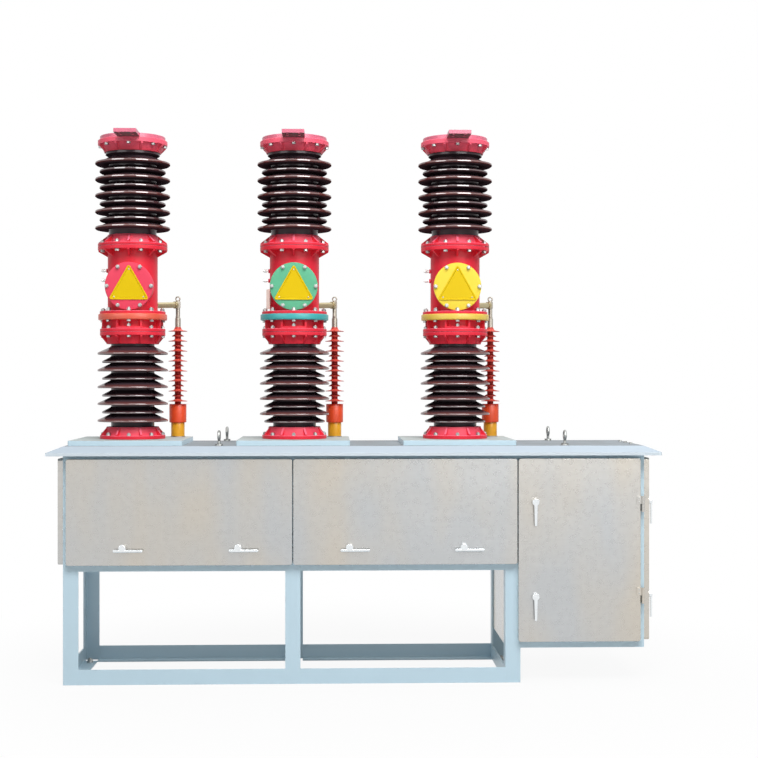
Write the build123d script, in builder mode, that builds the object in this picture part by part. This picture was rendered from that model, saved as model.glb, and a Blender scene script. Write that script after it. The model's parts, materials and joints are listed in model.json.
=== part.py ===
from build123d import *
import math
import os

os.makedirs("parts", exist_ok=True)

# The breaker stands on level ground at Z = 0, with its row of three poles along X.
# The front, with the covers and the cabinet door, faces -Y. X = 0 is the middle of the roof.
# All sizes are in millimetres.

# Driving dimensions of the row
phase_spacing = 700
pole_count = 3
left_reach = 950
right_reach = 1470
half_depth = 287
roof_overhang = 62

# Rolled steel angle of the stand
angle_flange = 63
angle_wall = 6
angle_root = 5

# Heights above the ground
shelf_z = 470
cabinet_z = 145
roof_z = 989
cover_bottom_z = 497
door_bottom_z = 173
panel_top_z = 937

# Sheet metal
sheet = 3
pan_depth = 25
pan_wall = 2
pan_corner = 10
pan_edge = 2.5
seam = 4
left_strip = 15
right_strip = 19

# Roof edge
slope_drop = 25
lip_height = 13

# Plinth plates under the poles
plinth_half_x = 238
plinth_half_y = 247
plinth_height = 21
plinth_edge = 3

# Anchor holes in the side rails of the stand
anchor_inset = 36
anchor_end = 34
anchor_hole_r = 9

# Places along the row, measured from the middle pole
middle_x = (left_reach - right_reach) / 2
pole_xs = [middle_x + (i - (pole_count - 1) / 2) * phase_spacing for i in range(pole_count)]
stand_left = middle_x - left_reach
stand_right = middle_x + left_reach
cabinet_wall_x = stand_right - angle_flange
cabinet_right = middle_x + right_reach
frame_top_z = roof_z - sheet
leg_corners = [stand_left, middle_x - angle_flange / 2, cabinet_wall_x]


def finish(piece, name):
    """Label a finished piece and write it to its own file."""
    piece.part.label = name
    export_step(piece.part, f"parts/{name}.step")


def angle_bar(start, end, flat, upright):
    """Add an equal angle between two corner points, its flanges along the two directions given."""
    run = Vector(*end) - Vector(*start)
    if Vector(*flat).cross(Vector(*upright)).dot(run) < 0:
        start, run = end, -run
    with BuildSketch(Plane(origin=start, x_dir=flat, z_dir=run.normalized())) as section:
        with BuildLine():
            Polyline(
                (0, 0),
                (angle_flange, 0),
                (angle_flange, angle_wall),
                (angle_wall, angle_wall),
                (angle_wall, angle_flange),
                (0, angle_flange),
                close=True,
            )
        make_face()
        root = section.vertices().sort_by_distance((angle_wall, angle_wall))[0]
        fillet(root, radius=angle_root)
    extrude(section.sketch, amount=run.length)


def long_rails(z, upright, ends):
    """Add front and rear angles between neighbouring posts, with the corner of the angle at z."""
    for left, right in ends:
        for side in (-1, 1):
            angle_bar((left, side * half_depth, z), (right, side * half_depth, z), (0, -side, 0), upright)


# Stand: six legs, a ring of rails on the ground, one under the long box and one under the roof
with BuildPart() as legs:
    for x in leg_corners:
        for side in (-1, 1):
            foot = (x, side * half_depth, 0)
            head = (x, side * half_depth, frame_top_z)
            angle_bar(foot, head, (1, 0, 0), (0, -side, 0))
finish(legs, "legs")

up = (0, 0, 1)
down = (0, 0, -1)
leg_bays = [(a + angle_flange, b) for a, b in zip(leg_corners, leg_corners[1:])]
cabinet_bay = (stand_right, cabinet_right - angle_flange)

with BuildPart() as base_rails:
    long_rails(0, up, leg_bays)
finish(base_rails, "base_rails")

with BuildPart() as shelf_rails:
    long_rails(shelf_z, up, leg_bays)
finish(shelf_rails, "shelf_rails")

with BuildPart() as top_rails:
    long_rails(frame_top_z, down, leg_bays + [cabinet_bay])
finish(top_rails, "top_rails")

# Cross rails between front and rear posts, with the anchor holes in the two on the ground
cross_reach = half_depth - angle_flange
anchor_half_y = cross_reach - anchor_end
with BuildPart() as cross_rails:
    for x, z, upright in (
        (stand_left, 0, up),
        (cabinet_wall_x, 0, up),
        (stand_left, shelf_z, up),
        (stand_left, frame_top_z, down),
    ):
        angle_bar((x, -cross_reach, z), (x, cross_reach, z), (1, 0, 0), upright)
    for z, upright in ((cabinet_z, up), (frame_top_z, down)):
        start = (cabinet_right, -cross_reach, z)
        end = (cabinet_right, cross_reach, z)
        angle_bar(start, end, (-1, 0, 0), upright)
    anchors = [
        (x + anchor_inset, side * anchor_half_y, 0)
        for x in (stand_left, cabinet_wall_x)
        for side in (-1, 1)
    ]
    with Locations(*anchors):
        Cylinder(anchor_hole_r, 3 * angle_wall, mode=Mode.SUBTRACT)
finish(cross_rails, "cross_rails")

with BuildPart() as cabinet_posts:
    for side in (-1, 1):
        foot = (cabinet_right, side * half_depth, cabinet_z)
        head = (cabinet_right, side * half_depth, frame_top_z)
        angle_bar(foot, head, (-1, 0, 0), (0, -side, 0))
finish(cabinet_posts, "cabinet_posts")

with BuildPart() as cabinet_sills:
    long_rails(cabinet_z, up, [cabinet_bay])
finish(cabinet_sills, "cabinet_sills")

# Sheet floors and the wall between the open stand and the cabinet
sheet_inset = angle_wall + angle_root
inner_depth = 2 * (half_depth - sheet_inset)
floor_left = stand_left + sheet_inset
floor_length = cabinet_wall_x - floor_left
notch_gap = 1
notch_width = angle_wall + 2 * (angle_root + notch_gap)
notch_depth = angle_flange + notch_gap
with BuildPart() as enclosure_floor:
    with BuildSketch(Plane.XY.offset(shelf_z + angle_wall)):
        with Locations((floor_left + floor_length / 2, 0)):
            Rectangle(floor_length, inner_depth)
        notches = [
            (leg_corners[1] + angle_wall / 2, side * (half_depth - notch_depth / 2)) for side in (-1, 1)
        ]
        with Locations(*notches):
            Rectangle(notch_width, notch_depth, mode=Mode.SUBTRACT)
    extrude(amount=sheet)
finish(enclosure_floor, "enclosure_floor")

wall_x = cabinet_wall_x + angle_wall
with BuildPart() as cabinet_wall:
    with Locations((wall_x, 0, cabinet_z)):
        Box(
            sheet,
            inner_depth,
            frame_top_z - cabinet_z - angle_wall,
            align=(Align.MIN, Align.CENTER, Align.MIN),
        )
finish(cabinet_wall, "cabinet_wall")

cabinet_floor_left = wall_x + sheet
with BuildPart() as cabinet_floor:
    with Locations((cabinet_floor_left, 0, cabinet_z + angle_wall)):
        Box(
            cabinet_right - sheet_inset - cabinet_floor_left,
            inner_depth,
            sheet,
            align=(Align.MIN, Align.CENTER, Align.MIN),
        )
finish(cabinet_floor, "cabinet_floor")


# Pans: folded sheet covers that stand proud of the frame, open towards it
def pan(left, right, bottom, top, seat):
    """Add a folded pan on a plane whose X runs along the cover and whose normal points outwards."""
    width = right - left
    height = top - bottom
    centre = ((left + right) / 2, (bottom + top) / 2)
    with BuildSketch(seat) as outside:
        with Locations(centre):
            RectangleRounded(width, height, pan_corner)
    extrude(outside.sketch, amount=pan_depth)
    with BuildSketch(seat) as inside:
        with Locations(centre):
            RectangleRounded(width - 2 * pan_wall, height - 2 * pan_wall, pan_corner - pan_wall)
    extrude(inside.sketch, amount=pan_depth - pan_wall, mode=Mode.SUBTRACT)


# Lever handles: a rose on the cover, and a spindle that turns in it
rose_r = 16.5
rose_height = 6
spindle_r = 7
spindle_gap = 0.3
spindle_socket = 5
hub_r = 15
hub_length = 14
lever_wall = 8
lever_edge = 2

# The rounded ends of each lever: along it and across it from the spindle, and their radius
cover_lever = ((-32, -12, 6), (79.5, -12, 5.5))
door_lever = ((0, 0, 8), (94.5, 0, 5.5))


def rose(x, y, face):
    """Add a round rose with its blind socket to the outer face of a pan."""
    with Locations(face):
        with Locations((x, y, 0)):
            Cylinder(rose_r, rose_height, align=(Align.CENTER, Align.CENTER, Align.MIN))
        with Locations((x, y, rose_height)):
            Cylinder(
                spindle_r + spindle_gap,
                spindle_socket,
                align=(Align.CENTER, Align.CENTER, Align.MAX),
                mode=Mode.SUBTRACT,
            )


def lever(x, y, turn, face, ends):
    """Make a lever handle on its spindle. turn is the direction of the lever in the face, in degrees."""
    c = math.cos(math.radians(turn))
    s = math.sin(math.radians(turn))
    pivot = Plane(
        origin=face.from_local_coords((x, y, rose_height + spindle_gap)),
        x_dir=face.x_dir * c + face.y_dir * s,
        z_dir=face.z_dir,
    )
    with BuildPart() as handle:
        with BuildSketch(pivot):
            Circle(hub_r)
        extrude(amount=hub_length)
        with BuildSketch(pivot):
            Circle(spindle_r)
        extrude(amount=-(spindle_socket - spindle_gap))
        with BuildSketch(pivot.offset(hub_length - lever_wall)):
            for along, across, end_r in ends:
                with Locations((along, across)):
                    Circle(end_r)
            make_hull()
        extrude(amount=lever_wall)
        outer = handle.faces().sort_by(Axis(pivot.origin, pivot.z_dir))[-1]
        chamfer(outer.edges(), length=lever_edge)
    return handle


front_seat = Plane(origin=(0, -half_depth, 0), x_dir=(1, 0, 0), z_dir=(0, -1, 0))
rear_seat = Plane(origin=(0, half_depth, 0), x_dir=(-1, 0, 0), z_dir=(0, 1, 0))
left_seat = Plane(origin=(stand_left, 0, 0), x_dir=(0, -1, 0), z_dir=(-1, 0, 0))
right_seat = Plane(origin=(cabinet_right, 0, 0), x_dir=(0, 1, 0), z_dir=(1, 0, 0))

cover_width = left_reach - left_strip
cover_handle_z = 571
cover_handle_shares = (0.25, 0.76)
cover_spans = [
    (middle_x - cover_width, middle_x - seam / 2),
    (middle_x + seam / 2, middle_x + cover_width),
]
cover_face = front_seat.offset(pan_depth)
cover_pivots = [left + share * (right - left) for left, right in cover_spans for share in cover_handle_shares]

with BuildPart() as front_covers:
    for left, right in cover_spans:
        pan(left, right, cover_bottom_z, panel_top_z, front_seat)
    fillet(front_covers.faces().group_by(Axis.Y)[0].edges(), radius=pan_edge)
    for x in cover_pivots:
        rose(x, cover_handle_z, cover_face)
finish(front_covers, "front_covers")

for number, x in enumerate(cover_pivots, 1):
    handle = lever(x, cover_handle_z, 0, cover_face, cover_lever)
    finish(handle, f"cover_handle_{number}")

with BuildPart() as rear_covers:
    for left, right in cover_spans:
        pan(-right, -left, cover_bottom_z, panel_top_z, rear_seat)
    rear_left = -(cabinet_right - left_strip)
    pan(rear_left, -(middle_x + cover_width + seam), door_bottom_z, panel_top_z, rear_seat)
    fillet(rear_covers.faces().group_by(Axis.Y)[-1].edges(), radius=pan_edge)
finish(rear_covers, "rear_covers")

with BuildPart() as end_cover:
    reach = half_depth - left_strip
    pan(-reach, reach, cover_bottom_z, panel_top_z, left_seat)
    fillet(end_cover.faces().group_by(Axis.X)[0].edges(), radius=pan_edge)
finish(end_cover, "end_cover")

# Cabinet doors and their hinges
hinge_centres = (365, 747)
hinge_r = 7
hinge_height = 65
hinge_gap = 1
pin_r = 4
pin_gap = 0.3
hinge_stand_off = 6
leaf_wall = 4
leaf_reach = 26
bracket_wall = 9
pin_tip_gap = 2
hinge_edge = right_strip / 2

door_left = middle_x + cover_width + seam
door_right = cabinet_right - right_strip
door_handle_inset = 71
door_handle_x = door_left + door_handle_inset
door_handle_zs = (362, 756)
front_axis_x = cabinet_right - hinge_edge
door_axis_out = pan_depth + hinge_stand_off

with BuildPart() as front_door:
    pan(door_left, door_right, door_bottom_z, panel_top_z, front_seat)
    fillet(front_door.faces().group_by(Axis.Y)[0].edges(), radius=pan_edge)
    for z in door_handle_zs:
        rose(door_handle_x, z, cover_face)
finish(front_door, "front_door")

for label, z in zip(("lower", "upper"), door_handle_zs):
    handle = lever(door_handle_x, z, -90, cover_face, door_lever)
    finish(handle, f"front_handle_{label}")

side_face = right_seat.offset(pan_depth)
side_front = -(half_depth - left_strip)
side_rear = half_depth - right_strip
side_handle_inset = 40
side_handle_y = side_front + side_handle_inset
with BuildPart() as side_door:
    pan(side_front, side_rear, door_bottom_z, panel_top_z, right_seat)
    fillet(side_door.faces().group_by(Axis.X)[-1].edges(), radius=pan_edge)
    for z in door_handle_zs:
        rose(side_handle_y, z, side_face)
finish(side_door, "side_door")

for label, z in zip(("lower", "upper"), door_handle_zs):
    handle = lever(side_handle_y, z, -90, side_face, door_lever)
    finish(handle, f"side_handle_{label}")

side_axis = half_depth - hinge_edge


def knuckles(seat, axis):
    """Add the door halves of the hinges: an upper barrel on a leaf fixed to the face of the pan."""
    centre = seat.from_local_coords((axis, 0, door_axis_out))
    for z in hinge_centres:
        with Locations((centre.X, centre.Y, z + hinge_gap / 2)):
            Cylinder(hinge_r, hinge_height / 2, align=(Align.CENTER, Align.CENTER, Align.MIN))
        with Locations(seat.offset(pan_depth)):
            with Locations((axis - leaf_reach, z + hinge_gap / 2, 0)):
                Box(leaf_reach, hinge_height / 2, leaf_wall, align=(Align.MIN, Align.MIN, Align.MIN))
        with Locations((centre.X, centre.Y, z)):
            Cylinder(
                pin_r + pin_gap,
                hinge_height,
                align=(Align.CENTER, Align.CENTER, Align.MIN),
                mode=Mode.SUBTRACT,
            )


with BuildPart() as front_door_knuckles:
    knuckles(front_seat, front_axis_x)
finish(front_door_knuckles, "front_door_knuckles")

with BuildPart() as side_door_knuckles:
    knuckles(right_seat, side_axis)
finish(side_door_knuckles, "side_door_knuckles")


def hinge_bracket(seat, axis):
    """Add the fixed halves: a lower barrel with its pin, on a bracket that stands on the post."""
    centre = seat.from_local_coords((axis, 0, door_axis_out))
    for z in hinge_centres:
        with Locations((centre.X, centre.Y, z - hinge_gap / 2)):
            Cylinder(hinge_r, hinge_height / 2, align=(Align.CENTER, Align.CENTER, Align.MAX))
            Cylinder(
                pin_r,
                hinge_height / 2 - pin_tip_gap,
                align=(Align.CENTER, Align.CENTER, Align.MIN),
            )
        with Locations(seat):
            with Locations((axis, z - hinge_gap / 2, 0)):
                Box(
                    bracket_wall,
                    hinge_height / 2,
                    door_axis_out,
                    align=(Align.CENTER, Align.MAX, Align.MIN),
                )


with BuildPart() as hinge_brackets:
    hinge_bracket(front_seat, front_axis_x)
    hinge_bracket(right_seat, side_axis)
finish(hinge_brackets, "hinge_brackets")

# Roof: a folded sheet with sloping edges and an upright lip
frame_length = left_reach + right_reach
slope_run = roof_overhang - sheet
with BuildPart() as roof:
    with BuildSketch(Plane.XY.offset(roof_z)):
        Rectangle(frame_length, 2 * half_depth)
    with BuildSketch(Plane.XY.offset(roof_z - slope_drop)):
        Rectangle(frame_length + 2 * roof_overhang, 2 * (half_depth + roof_overhang))
    loft()
    with BuildSketch(Plane.XY.offset(roof_z - slope_drop)):
        Rectangle(frame_length + 2 * roof_overhang, 2 * (half_depth + roof_overhang))
    extrude(amount=-lip_height)
    inner_drop = slope_drop * slope_run / roof_overhang
    with BuildSketch(Plane.XY.offset(frame_top_z)):
        Rectangle(frame_length, 2 * half_depth)
    with BuildSketch(Plane.XY.offset(frame_top_z - inner_drop)):
        Rectangle(frame_length + 2 * slope_run, 2 * (half_depth + slope_run))
    loft(mode=Mode.SUBTRACT)
    with BuildSketch(Plane.XY.offset(frame_top_z - inner_drop)):
        Rectangle(frame_length + 2 * slope_run, 2 * (half_depth + slope_run))
    extrude(amount=-(lip_height + slope_drop), mode=Mode.SUBTRACT)
finish(roof, "roof")

plinth_top = roof_z + plinth_height
with BuildPart() as plinth_plates:
    with Locations(*[(x, 0, roof_z) for x in pole_xs]):
        Box(
            2 * plinth_half_x,
            2 * plinth_half_y,
            plinth_height,
            align=(Align.CENTER, Align.CENTER, Align.MIN),
        )
    chamfer(plinth_plates.edges().filter_by(Axis.Z), length=plinth_edge)
finish(plinth_plates, "plinth_plates")


def eye_ring(centre, axle, ring_r, wire_r):
    """Add an upright ring of octagonal section, turned about an axle in the direction given."""
    side = Vector(0, 0, 1).cross(Vector(*axle))
    with BuildSketch(Plane(origin=centre, x_dir=(0, 0, 1), z_dir=side)) as section:
        with Locations((ring_r, 0)):
            RegularPolygon(wire_r, 8, rotation=180 / 8)
    revolve(section.sketch, axis=Axis(centre, axle))


# Lifting eyes on the roof: one pair between the first two poles and one pair over the cabinet
eye_left_offset = 41
eye_right_inset = 327
eye_front_inset = 42
eye_xs = (middle_x - phase_spacing / 2 + eye_left_offset, cabinet_right - eye_right_inset)
eye_y = half_depth - eye_front_inset
eye_ring_r = 17
eye_wire_r = 6
eye_collar_r = 15
eye_collar_height = 8
eye_shank = 18
with BuildPart() as lifting_eyes:
    for x in eye_xs:
        for side in (-1, 1):
            foot = Plane(origin=(x, side * eye_y, roof_z))
            with BuildSketch(foot):
                Circle(eye_collar_r)
            extrude(amount=eye_collar_height)
            with BuildSketch(foot):
                Circle(eye_wire_r)
            extrude(amount=eye_collar_height + eye_shank)
            ring_z = roof_z + eye_collar_height + eye_shank + eye_ring_r
            eye_ring((x, side * eye_y, ring_z), (1, 0, 0), eye_ring_r, eye_wire_r)
finish(lifting_eyes, "lifting_eyes")

# Poles, from the plinth up. Radii are from the axis of the pole.
flange_r = 140
head_flange_r = 149
flange_edge = 1.5
rib_count = 8
rib_wall = 9
rib_bite = 3
rib_heel = 5
porcelain_seat = 12

lower_core_r = 93
lower_hub_r = 112
lower_hub_flare = 10
lower_rim = 16
lower_fitting_height = 52
lower_top_z = 1471

upper_core_r = 102
upper_hub_r = 107
upper_rim = 12
upper_fitting_height = 49
upper_bottom_z = 1840
top_neck_r = 116
top_hub_r = 121
top_rim = 20
top_fitting_height = 52
upper_top_z = 2297
upper_hub_flare = 14

# Sheds. The cone of each large or small shed rises by a share of the pitch.
shed_rim = 7
shed_under_slope = 0.12
shed_rises = (1, 0.72)
lower_shed_radii = (151, 132)
upper_shed_radii = (161, 142)
lower_shed_pitch = 32.75
lower_shed_gap = 24
wide_shed_pitch = 36.25
wide_shed_gap = 28
upper_shed_pitch = 34.85
upper_shed_gap = 29

tank_r = 107
tank_flange = 14
flange_pad_half = 54
flange_pad_rise = 8
neck_r = 116
neck_top_z = 1522
ring_r = 147.5
ring_top_z = 1548
collar_r = 141
collar_height = 12
head_flange = 17
neck_rib_r = 135
gusset_height = 28

nozzle_r = 98
nozzle_z = 1664
nozzle_reach = 122
cover_r = 102
cover_wall = 8
cover_edge = 2

plug_zs = (1695, 1737)
plug_boss_r = 9
plug_seat = 113
plug_shank_r = 5
plug_shank = 7
plug_head_r = 8
plug_head = 12
plug_tip_r = 4
plug_tip = 5

cap_r = 140
cap_height = 18
pad_width = 94
pad_reach = 260
pad_wall = 16
pad_hole_r = 7
pad_hole_pitch = 50
pad_hole_inset = 47

post_x = 175
post_y = 195
post_core_r = 14
post_foot_r = 30
post_foot_height = 64
post_sleeve_r = 38
post_sleeve_height = 82
post_shed_gap = 13
post_shed_pitch = 22.3
post_shed_radii = (42, 27)
post_shed_rim = 2.5
post_shed_root = 8
post_boot_r = 17
post_boot_top_r = 13
post_boot_height = 16
post_top_z = 1500
rod_steps = ((12.5, 1539), (9.5, 1581))
post_eye_r = 9
post_eye_wire_r = 3
arm_r = 11
arm_z = 1585
arm_rise = 14
arm_boss_r = 18
arm_boss_reach = 128
arm_collar_r = 16
arm_collar_wall = 12
arm_clamp_r = 9.5
arm_clamp_height = 36


def radial_plane(x, angle):
    """Return the upright plane through the axis at x, its X pointing outwards at the angle given."""
    c = math.cos(math.radians(angle))
    s = math.sin(math.radians(angle))
    return Plane(origin=(x, 0, 0), x_dir=(c, s, 0), z_dir=(s, -c, 0))


def turned(x, outline):
    """Add a body of revolution about the upright axis at x from points of radius and height."""
    with BuildSketch(radial_plane(x, 0)) as half:
        with BuildLine():
            Polyline(*outline, close=True)
        make_face()
    revolve(half.sketch, axis=Axis((x, 0, 0), (0, 0, 1)))


def ribs(x, outline, first_angle):
    """Add upright ribs round the axis at x, each with the outline given in radius and height."""
    for i in range(rib_count):
        with BuildSketch(radial_plane(x, first_angle + i * 360 / rib_count)) as rib:
            with BuildLine():
                Polyline(*outline, close=True)
            make_face()
        extrude(rib.sketch, amount=rib_wall / 2, both=True)


def fitting(x, z, way, rim_r, rim, flare, height, bore, hub_r, first_rib):
    """Add a cast end fitting: a bolting flange at z, and a ribbed hub that runs the given way."""
    turned(
        x,
        [
            (0, z),
            (rim_r - flange_edge, z),
            (rim_r, z + way * flange_edge),
            (rim_r, z + way * (rim - flange_edge)),
            (rim_r - flange_edge, z + way * rim),
            (hub_r + flare, z + way * rim),
            (hub_r, z + way * height),
            (bore, z + way * height),
            (bore, z + way * porcelain_seat),
            (0, z + way * porcelain_seat),
        ],
    )
    rib_tip = z + way * (height - rib_bite)
    ribs(
        x,
        [
            (bore + rib_bite, z + way * rim),
            (rim_r - flange_edge, z + way * rim),
            (rim_r - flange_edge, z + way * (rim + rib_heel)),
            (hub_r + rib_bite, rib_tip),
            (bore + rib_bite, rib_tip),
        ],
        first_rib,
    )


def shed_rows(first_z, last_limit, pitch, first_large):
    """Return the height of each shed from the bottom up, and whether it is a large one."""
    count = int((last_limit - first_z) / pitch) + 1
    return [(first_z + i * pitch, (i % 2 == 0) == first_large) for i in range(count)]


def shed_stack(x, bottom, top, core_r, top_r, radii, pitch, sheds):
    """Add an insulator: a core with alternating large and small sheds that slope down outwards."""
    outline = [(0, bottom), (core_r, bottom)]
    for z, large in sheds:
        rim_r, rise = (radii[0], shed_rises[0]) if large else (radii[1], shed_rises[1])
        outline += [
            (core_r, z + shed_under_slope * (rim_r - core_r)),
            (rim_r, z - shed_rim / 2),
            (rim_r, z + shed_rim / 2),
            (core_r, z + rise * pitch),
        ]
    outline += [(top_r, top), (0, top)]
    turned(x, outline)


base_rib = 180 / rib_count
lower_hub_bottom = plinth_top + lower_fitting_height
lower_hub_top = lower_top_z - lower_fitting_height
upper_hub_bottom = upper_bottom_z + upper_fitting_height
upper_hub_top = upper_top_z - top_fitting_height
narrow_sheds = shed_rows(
    lower_hub_bottom + lower_shed_gap, lower_hub_top - lower_shed_pitch, lower_shed_pitch, False
)
wide_sheds = shed_rows(
    lower_hub_bottom + wide_shed_gap, lower_hub_top - wide_shed_pitch, wide_shed_pitch, True
)
upper_sheds = shed_rows(
    upper_hub_bottom + upper_shed_gap, upper_hub_top - upper_shed_pitch, upper_shed_pitch, True
)
lower_rows = [(wide_shed_pitch, wide_sheds), (lower_shed_pitch, narrow_sheds)]
arm_way = Vector(post_x, post_y, arm_rise).normalized()
arm_length = math.hypot(post_x, post_y, arm_rise)

for number, x in enumerate(pole_xs, 1):
    with BuildPart() as fittings:
        for z, way in ((plinth_top, 1), (lower_top_z, -1)):
            fitting(
                x,
                z,
                way,
                flange_r,
                lower_rim,
                lower_hub_flare,
                lower_fitting_height,
                lower_core_r,
                lower_hub_r,
                base_rib,
            )
        fitting(
            x,
            upper_bottom_z,
            1,
            head_flange_r,
            upper_rim,
            upper_hub_flare,
            upper_fitting_height,
            upper_core_r,
            upper_hub_r,
            0,
        )
        fitting(
            x,
            upper_top_z,
            -1,
            head_flange_r,
            top_rim,
            upper_hub_flare,
            top_fitting_height,
            top_neck_r,
            top_hub_r,
            base_rib,
        )
    finish(fittings, f"fittings_{number}")

    with BuildPart() as lower_insulator:
        bottom = plinth_top + porcelain_seat
        top = lower_top_z - porcelain_seat
        pitch, sheds = lower_rows[min(number, len(lower_rows)) - 1]
        shed_stack(x, bottom, top, lower_core_r, lower_core_r, lower_shed_radii, pitch, sheds)
    finish(lower_insulator, f"lower_insulator_{number}")

    with BuildPart() as upper_insulator:
        bottom = upper_bottom_z + porcelain_seat
        top = upper_top_z - porcelain_seat
        shed_stack(
            x, bottom, top, upper_core_r, top_neck_r, upper_shed_radii, upper_shed_pitch, upper_sheds
        )
    finish(upper_insulator, f"upper_insulator_{number}")

    with BuildPart() as tank:
        flange_top = lower_top_z + tank_flange
        collar_top = ring_top_z + collar_height
        flange_z = upper_bottom_z - head_flange
        turned(
            x,
            [
                (0, lower_top_z),
                (flange_r - flange_edge, lower_top_z),
                (flange_r, lower_top_z + flange_edge),
                (flange_r, flange_top - flange_edge),
                (flange_r - flange_edge, flange_top),
                (neck_r, flange_top),
                (neck_r, ring_top_z),
                (collar_r, ring_top_z),
                (collar_r, collar_top - flange_edge),
                (collar_r - flange_edge, collar_top),
                (tank_r, collar_top),
                (tank_r, flange_z),
                (head_flange_r - flange_edge, flange_z),
                (head_flange_r, flange_z + flange_edge),
                (head_flange_r, upper_bottom_z - flange_edge),
                (head_flange_r - flange_edge, upper_bottom_z),
                (0, upper_bottom_z),
            ],
        )
        neck_rib = [
            (neck_r - rib_bite, flange_top),
            (neck_rib_r, flange_top),
            (neck_rib_r, neck_top_z),
            (neck_r - rib_bite, neck_top_z),
        ]
        ribs(x, neck_rib, base_rib)
        gusset = [
            (tank_r - rib_bite, flange_z),
            (head_flange_r - flange_edge, flange_z),
            (head_flange_r - flange_edge, flange_z - rib_heel),
            (tank_r, flange_z - gusset_height),
            (tank_r - rib_bite, flange_z - gusset_height),
        ]
        ribs(x, gusset, 0)
        with BuildSketch(Plane(origin=(x, 0, flange_top))):
            Circle(flange_r - flange_edge)
            Circle(neck_r - rib_bite, mode=Mode.SUBTRACT)
            with Locations((0, -flange_r)):
                Rectangle(2 * flange_pad_half, 2 * flange_r, mode=Mode.INTERSECT)
        extrude(amount=flange_pad_rise)
        with BuildSketch(Plane(origin=(x, 0, nozzle_z), x_dir=(1, 0, 0), z_dir=(0, -1, 0))):
            Circle(nozzle_r)
        extrude(amount=nozzle_reach)
        for z in plug_zs:
            with BuildSketch(Plane(origin=(x, 0, z), x_dir=(0, -1, 0), z_dir=(-1, 0, 0))):
                Circle(plug_boss_r)
            extrude(amount=plug_seat)
        with BuildSketch(Plane(origin=(x, 0, arm_z), z_dir=arm_way)):
            Circle(arm_boss_r)
        extrude(amount=arm_boss_reach)
    finish(tank, f"tank_{number}")

with BuildPart() as phase_rings:
    for x in pole_xs:
        turned(
            x,
            [
                (neck_r, neck_top_z),
                (ring_r - flange_edge, neck_top_z),
                (ring_r, neck_top_z + flange_edge),
                (ring_r, ring_top_z - flange_edge),
                (ring_r - flange_edge, ring_top_z),
                (neck_r, ring_top_z),
            ],
        )
finish(phase_rings, "phase_rings")

with BuildPart() as tank_covers:
    for x in pole_xs:
        seat = Plane(origin=(x, -nozzle_reach, nozzle_z), x_dir=(1, 0, 0), z_dir=(0, -1, 0))
        with BuildSketch(seat):
            Circle(cover_r)
        extrude(amount=cover_wall)
    chamfer(tank_covers.faces().group_by(Axis.Y)[0].edges(), length=cover_edge)
finish(tank_covers, "tank_covers")

# Hexagon plugs in the bosses on the left of each tank
with BuildPart() as side_plugs:
    for x in pole_xs:
        for z in plug_zs:
            reach = plug_seat
            for length, across_r, sides in (
                (plug_shank, plug_shank_r, 0),
                (plug_head, plug_head_r, 6),
                (plug_tip, plug_tip_r, 0),
            ):
                with BuildSketch(Plane(origin=(x - reach, 0, z), x_dir=(0, -1, 0), z_dir=(-1, 0, 0))):
                    if sides:
                        RegularPolygon(across_r, sides)
                    else:
                        Circle(across_r)
                extrude(amount=length)
                reach += length
finish(side_plugs, "side_plugs")

# Top covers, each with its line terminal: a flat drilled pad that reaches forwards
pad_hole_y = -(pad_reach - pad_hole_inset)
with BuildPart() as terminal_caps:
    for x in pole_xs:
        turned(
            x,
            [
                (0, upper_top_z),
                (cap_r, upper_top_z),
                (cap_r, upper_top_z + cap_height - flange_edge),
                (cap_r - flange_edge, upper_top_z + cap_height),
                (0, upper_top_z + cap_height),
            ],
        )
        with BuildSketch(Plane(origin=(x, 0, upper_top_z))):
            with Locations((0, -pad_reach / 2)):
                Rectangle(pad_width, pad_reach)
            with Locations((0, pad_hole_y)):
                with GridLocations(pad_hole_pitch, pad_hole_pitch, 2, 2):
                    Circle(pad_hole_r, mode=Mode.SUBTRACT)
        extrude(amount=pad_wall)
finish(terminal_caps, "terminal_caps")

# Slim side insulators behind each pole: foot, sleeve, sheds, rod and the arm to the tank
foot_top = plinth_top + post_foot_height
sleeve_top = foot_top + post_sleeve_height
with BuildPart() as side_insulator_feet:
    for x in pole_xs:
        with BuildSketch(Plane(origin=(x + post_x, post_y, plinth_top))):
            Circle(post_foot_r)
        extrude(amount=post_foot_height)
        with BuildSketch(Plane(origin=(x + post_x, post_y, foot_top))):
            Circle(post_sleeve_r)
        extrude(amount=post_sleeve_height)
finish(side_insulator_feet, "side_insulator_feet")

post_boot_z = post_top_z - post_boot_height
post_sheds = shed_rows(sleeve_top + post_shed_gap, post_boot_z, post_shed_pitch, True)
with BuildPart() as side_insulators:
    for x in pole_xs:
        outline = [(0, sleeve_top), (post_core_r, sleeve_top)]
        for z, large in post_sheds:
            rim_r = post_shed_radii[0] if large else post_shed_radii[1]
            outline += [
                (post_core_r, z),
                (rim_r, z - post_shed_rim / 2),
                (rim_r, z + post_shed_rim / 2),
                (post_core_r, z + post_shed_root),
            ]
        outline[-1] = (post_boot_r, outline[-1][1])
        outline += [(post_boot_top_r, post_top_z), (0, post_top_z)]
        seat = Plane(origin=(x + post_x, post_y, 0), x_dir=(1, 0, 0), z_dir=(0, -1, 0))
        with BuildSketch(seat):
            with BuildLine():
                Polyline(*outline, close=True)
            make_face()
        revolve(axis=Axis((x + post_x, post_y, 0), (0, 0, 1)))
finish(side_insulators, "side_insulators")

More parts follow.
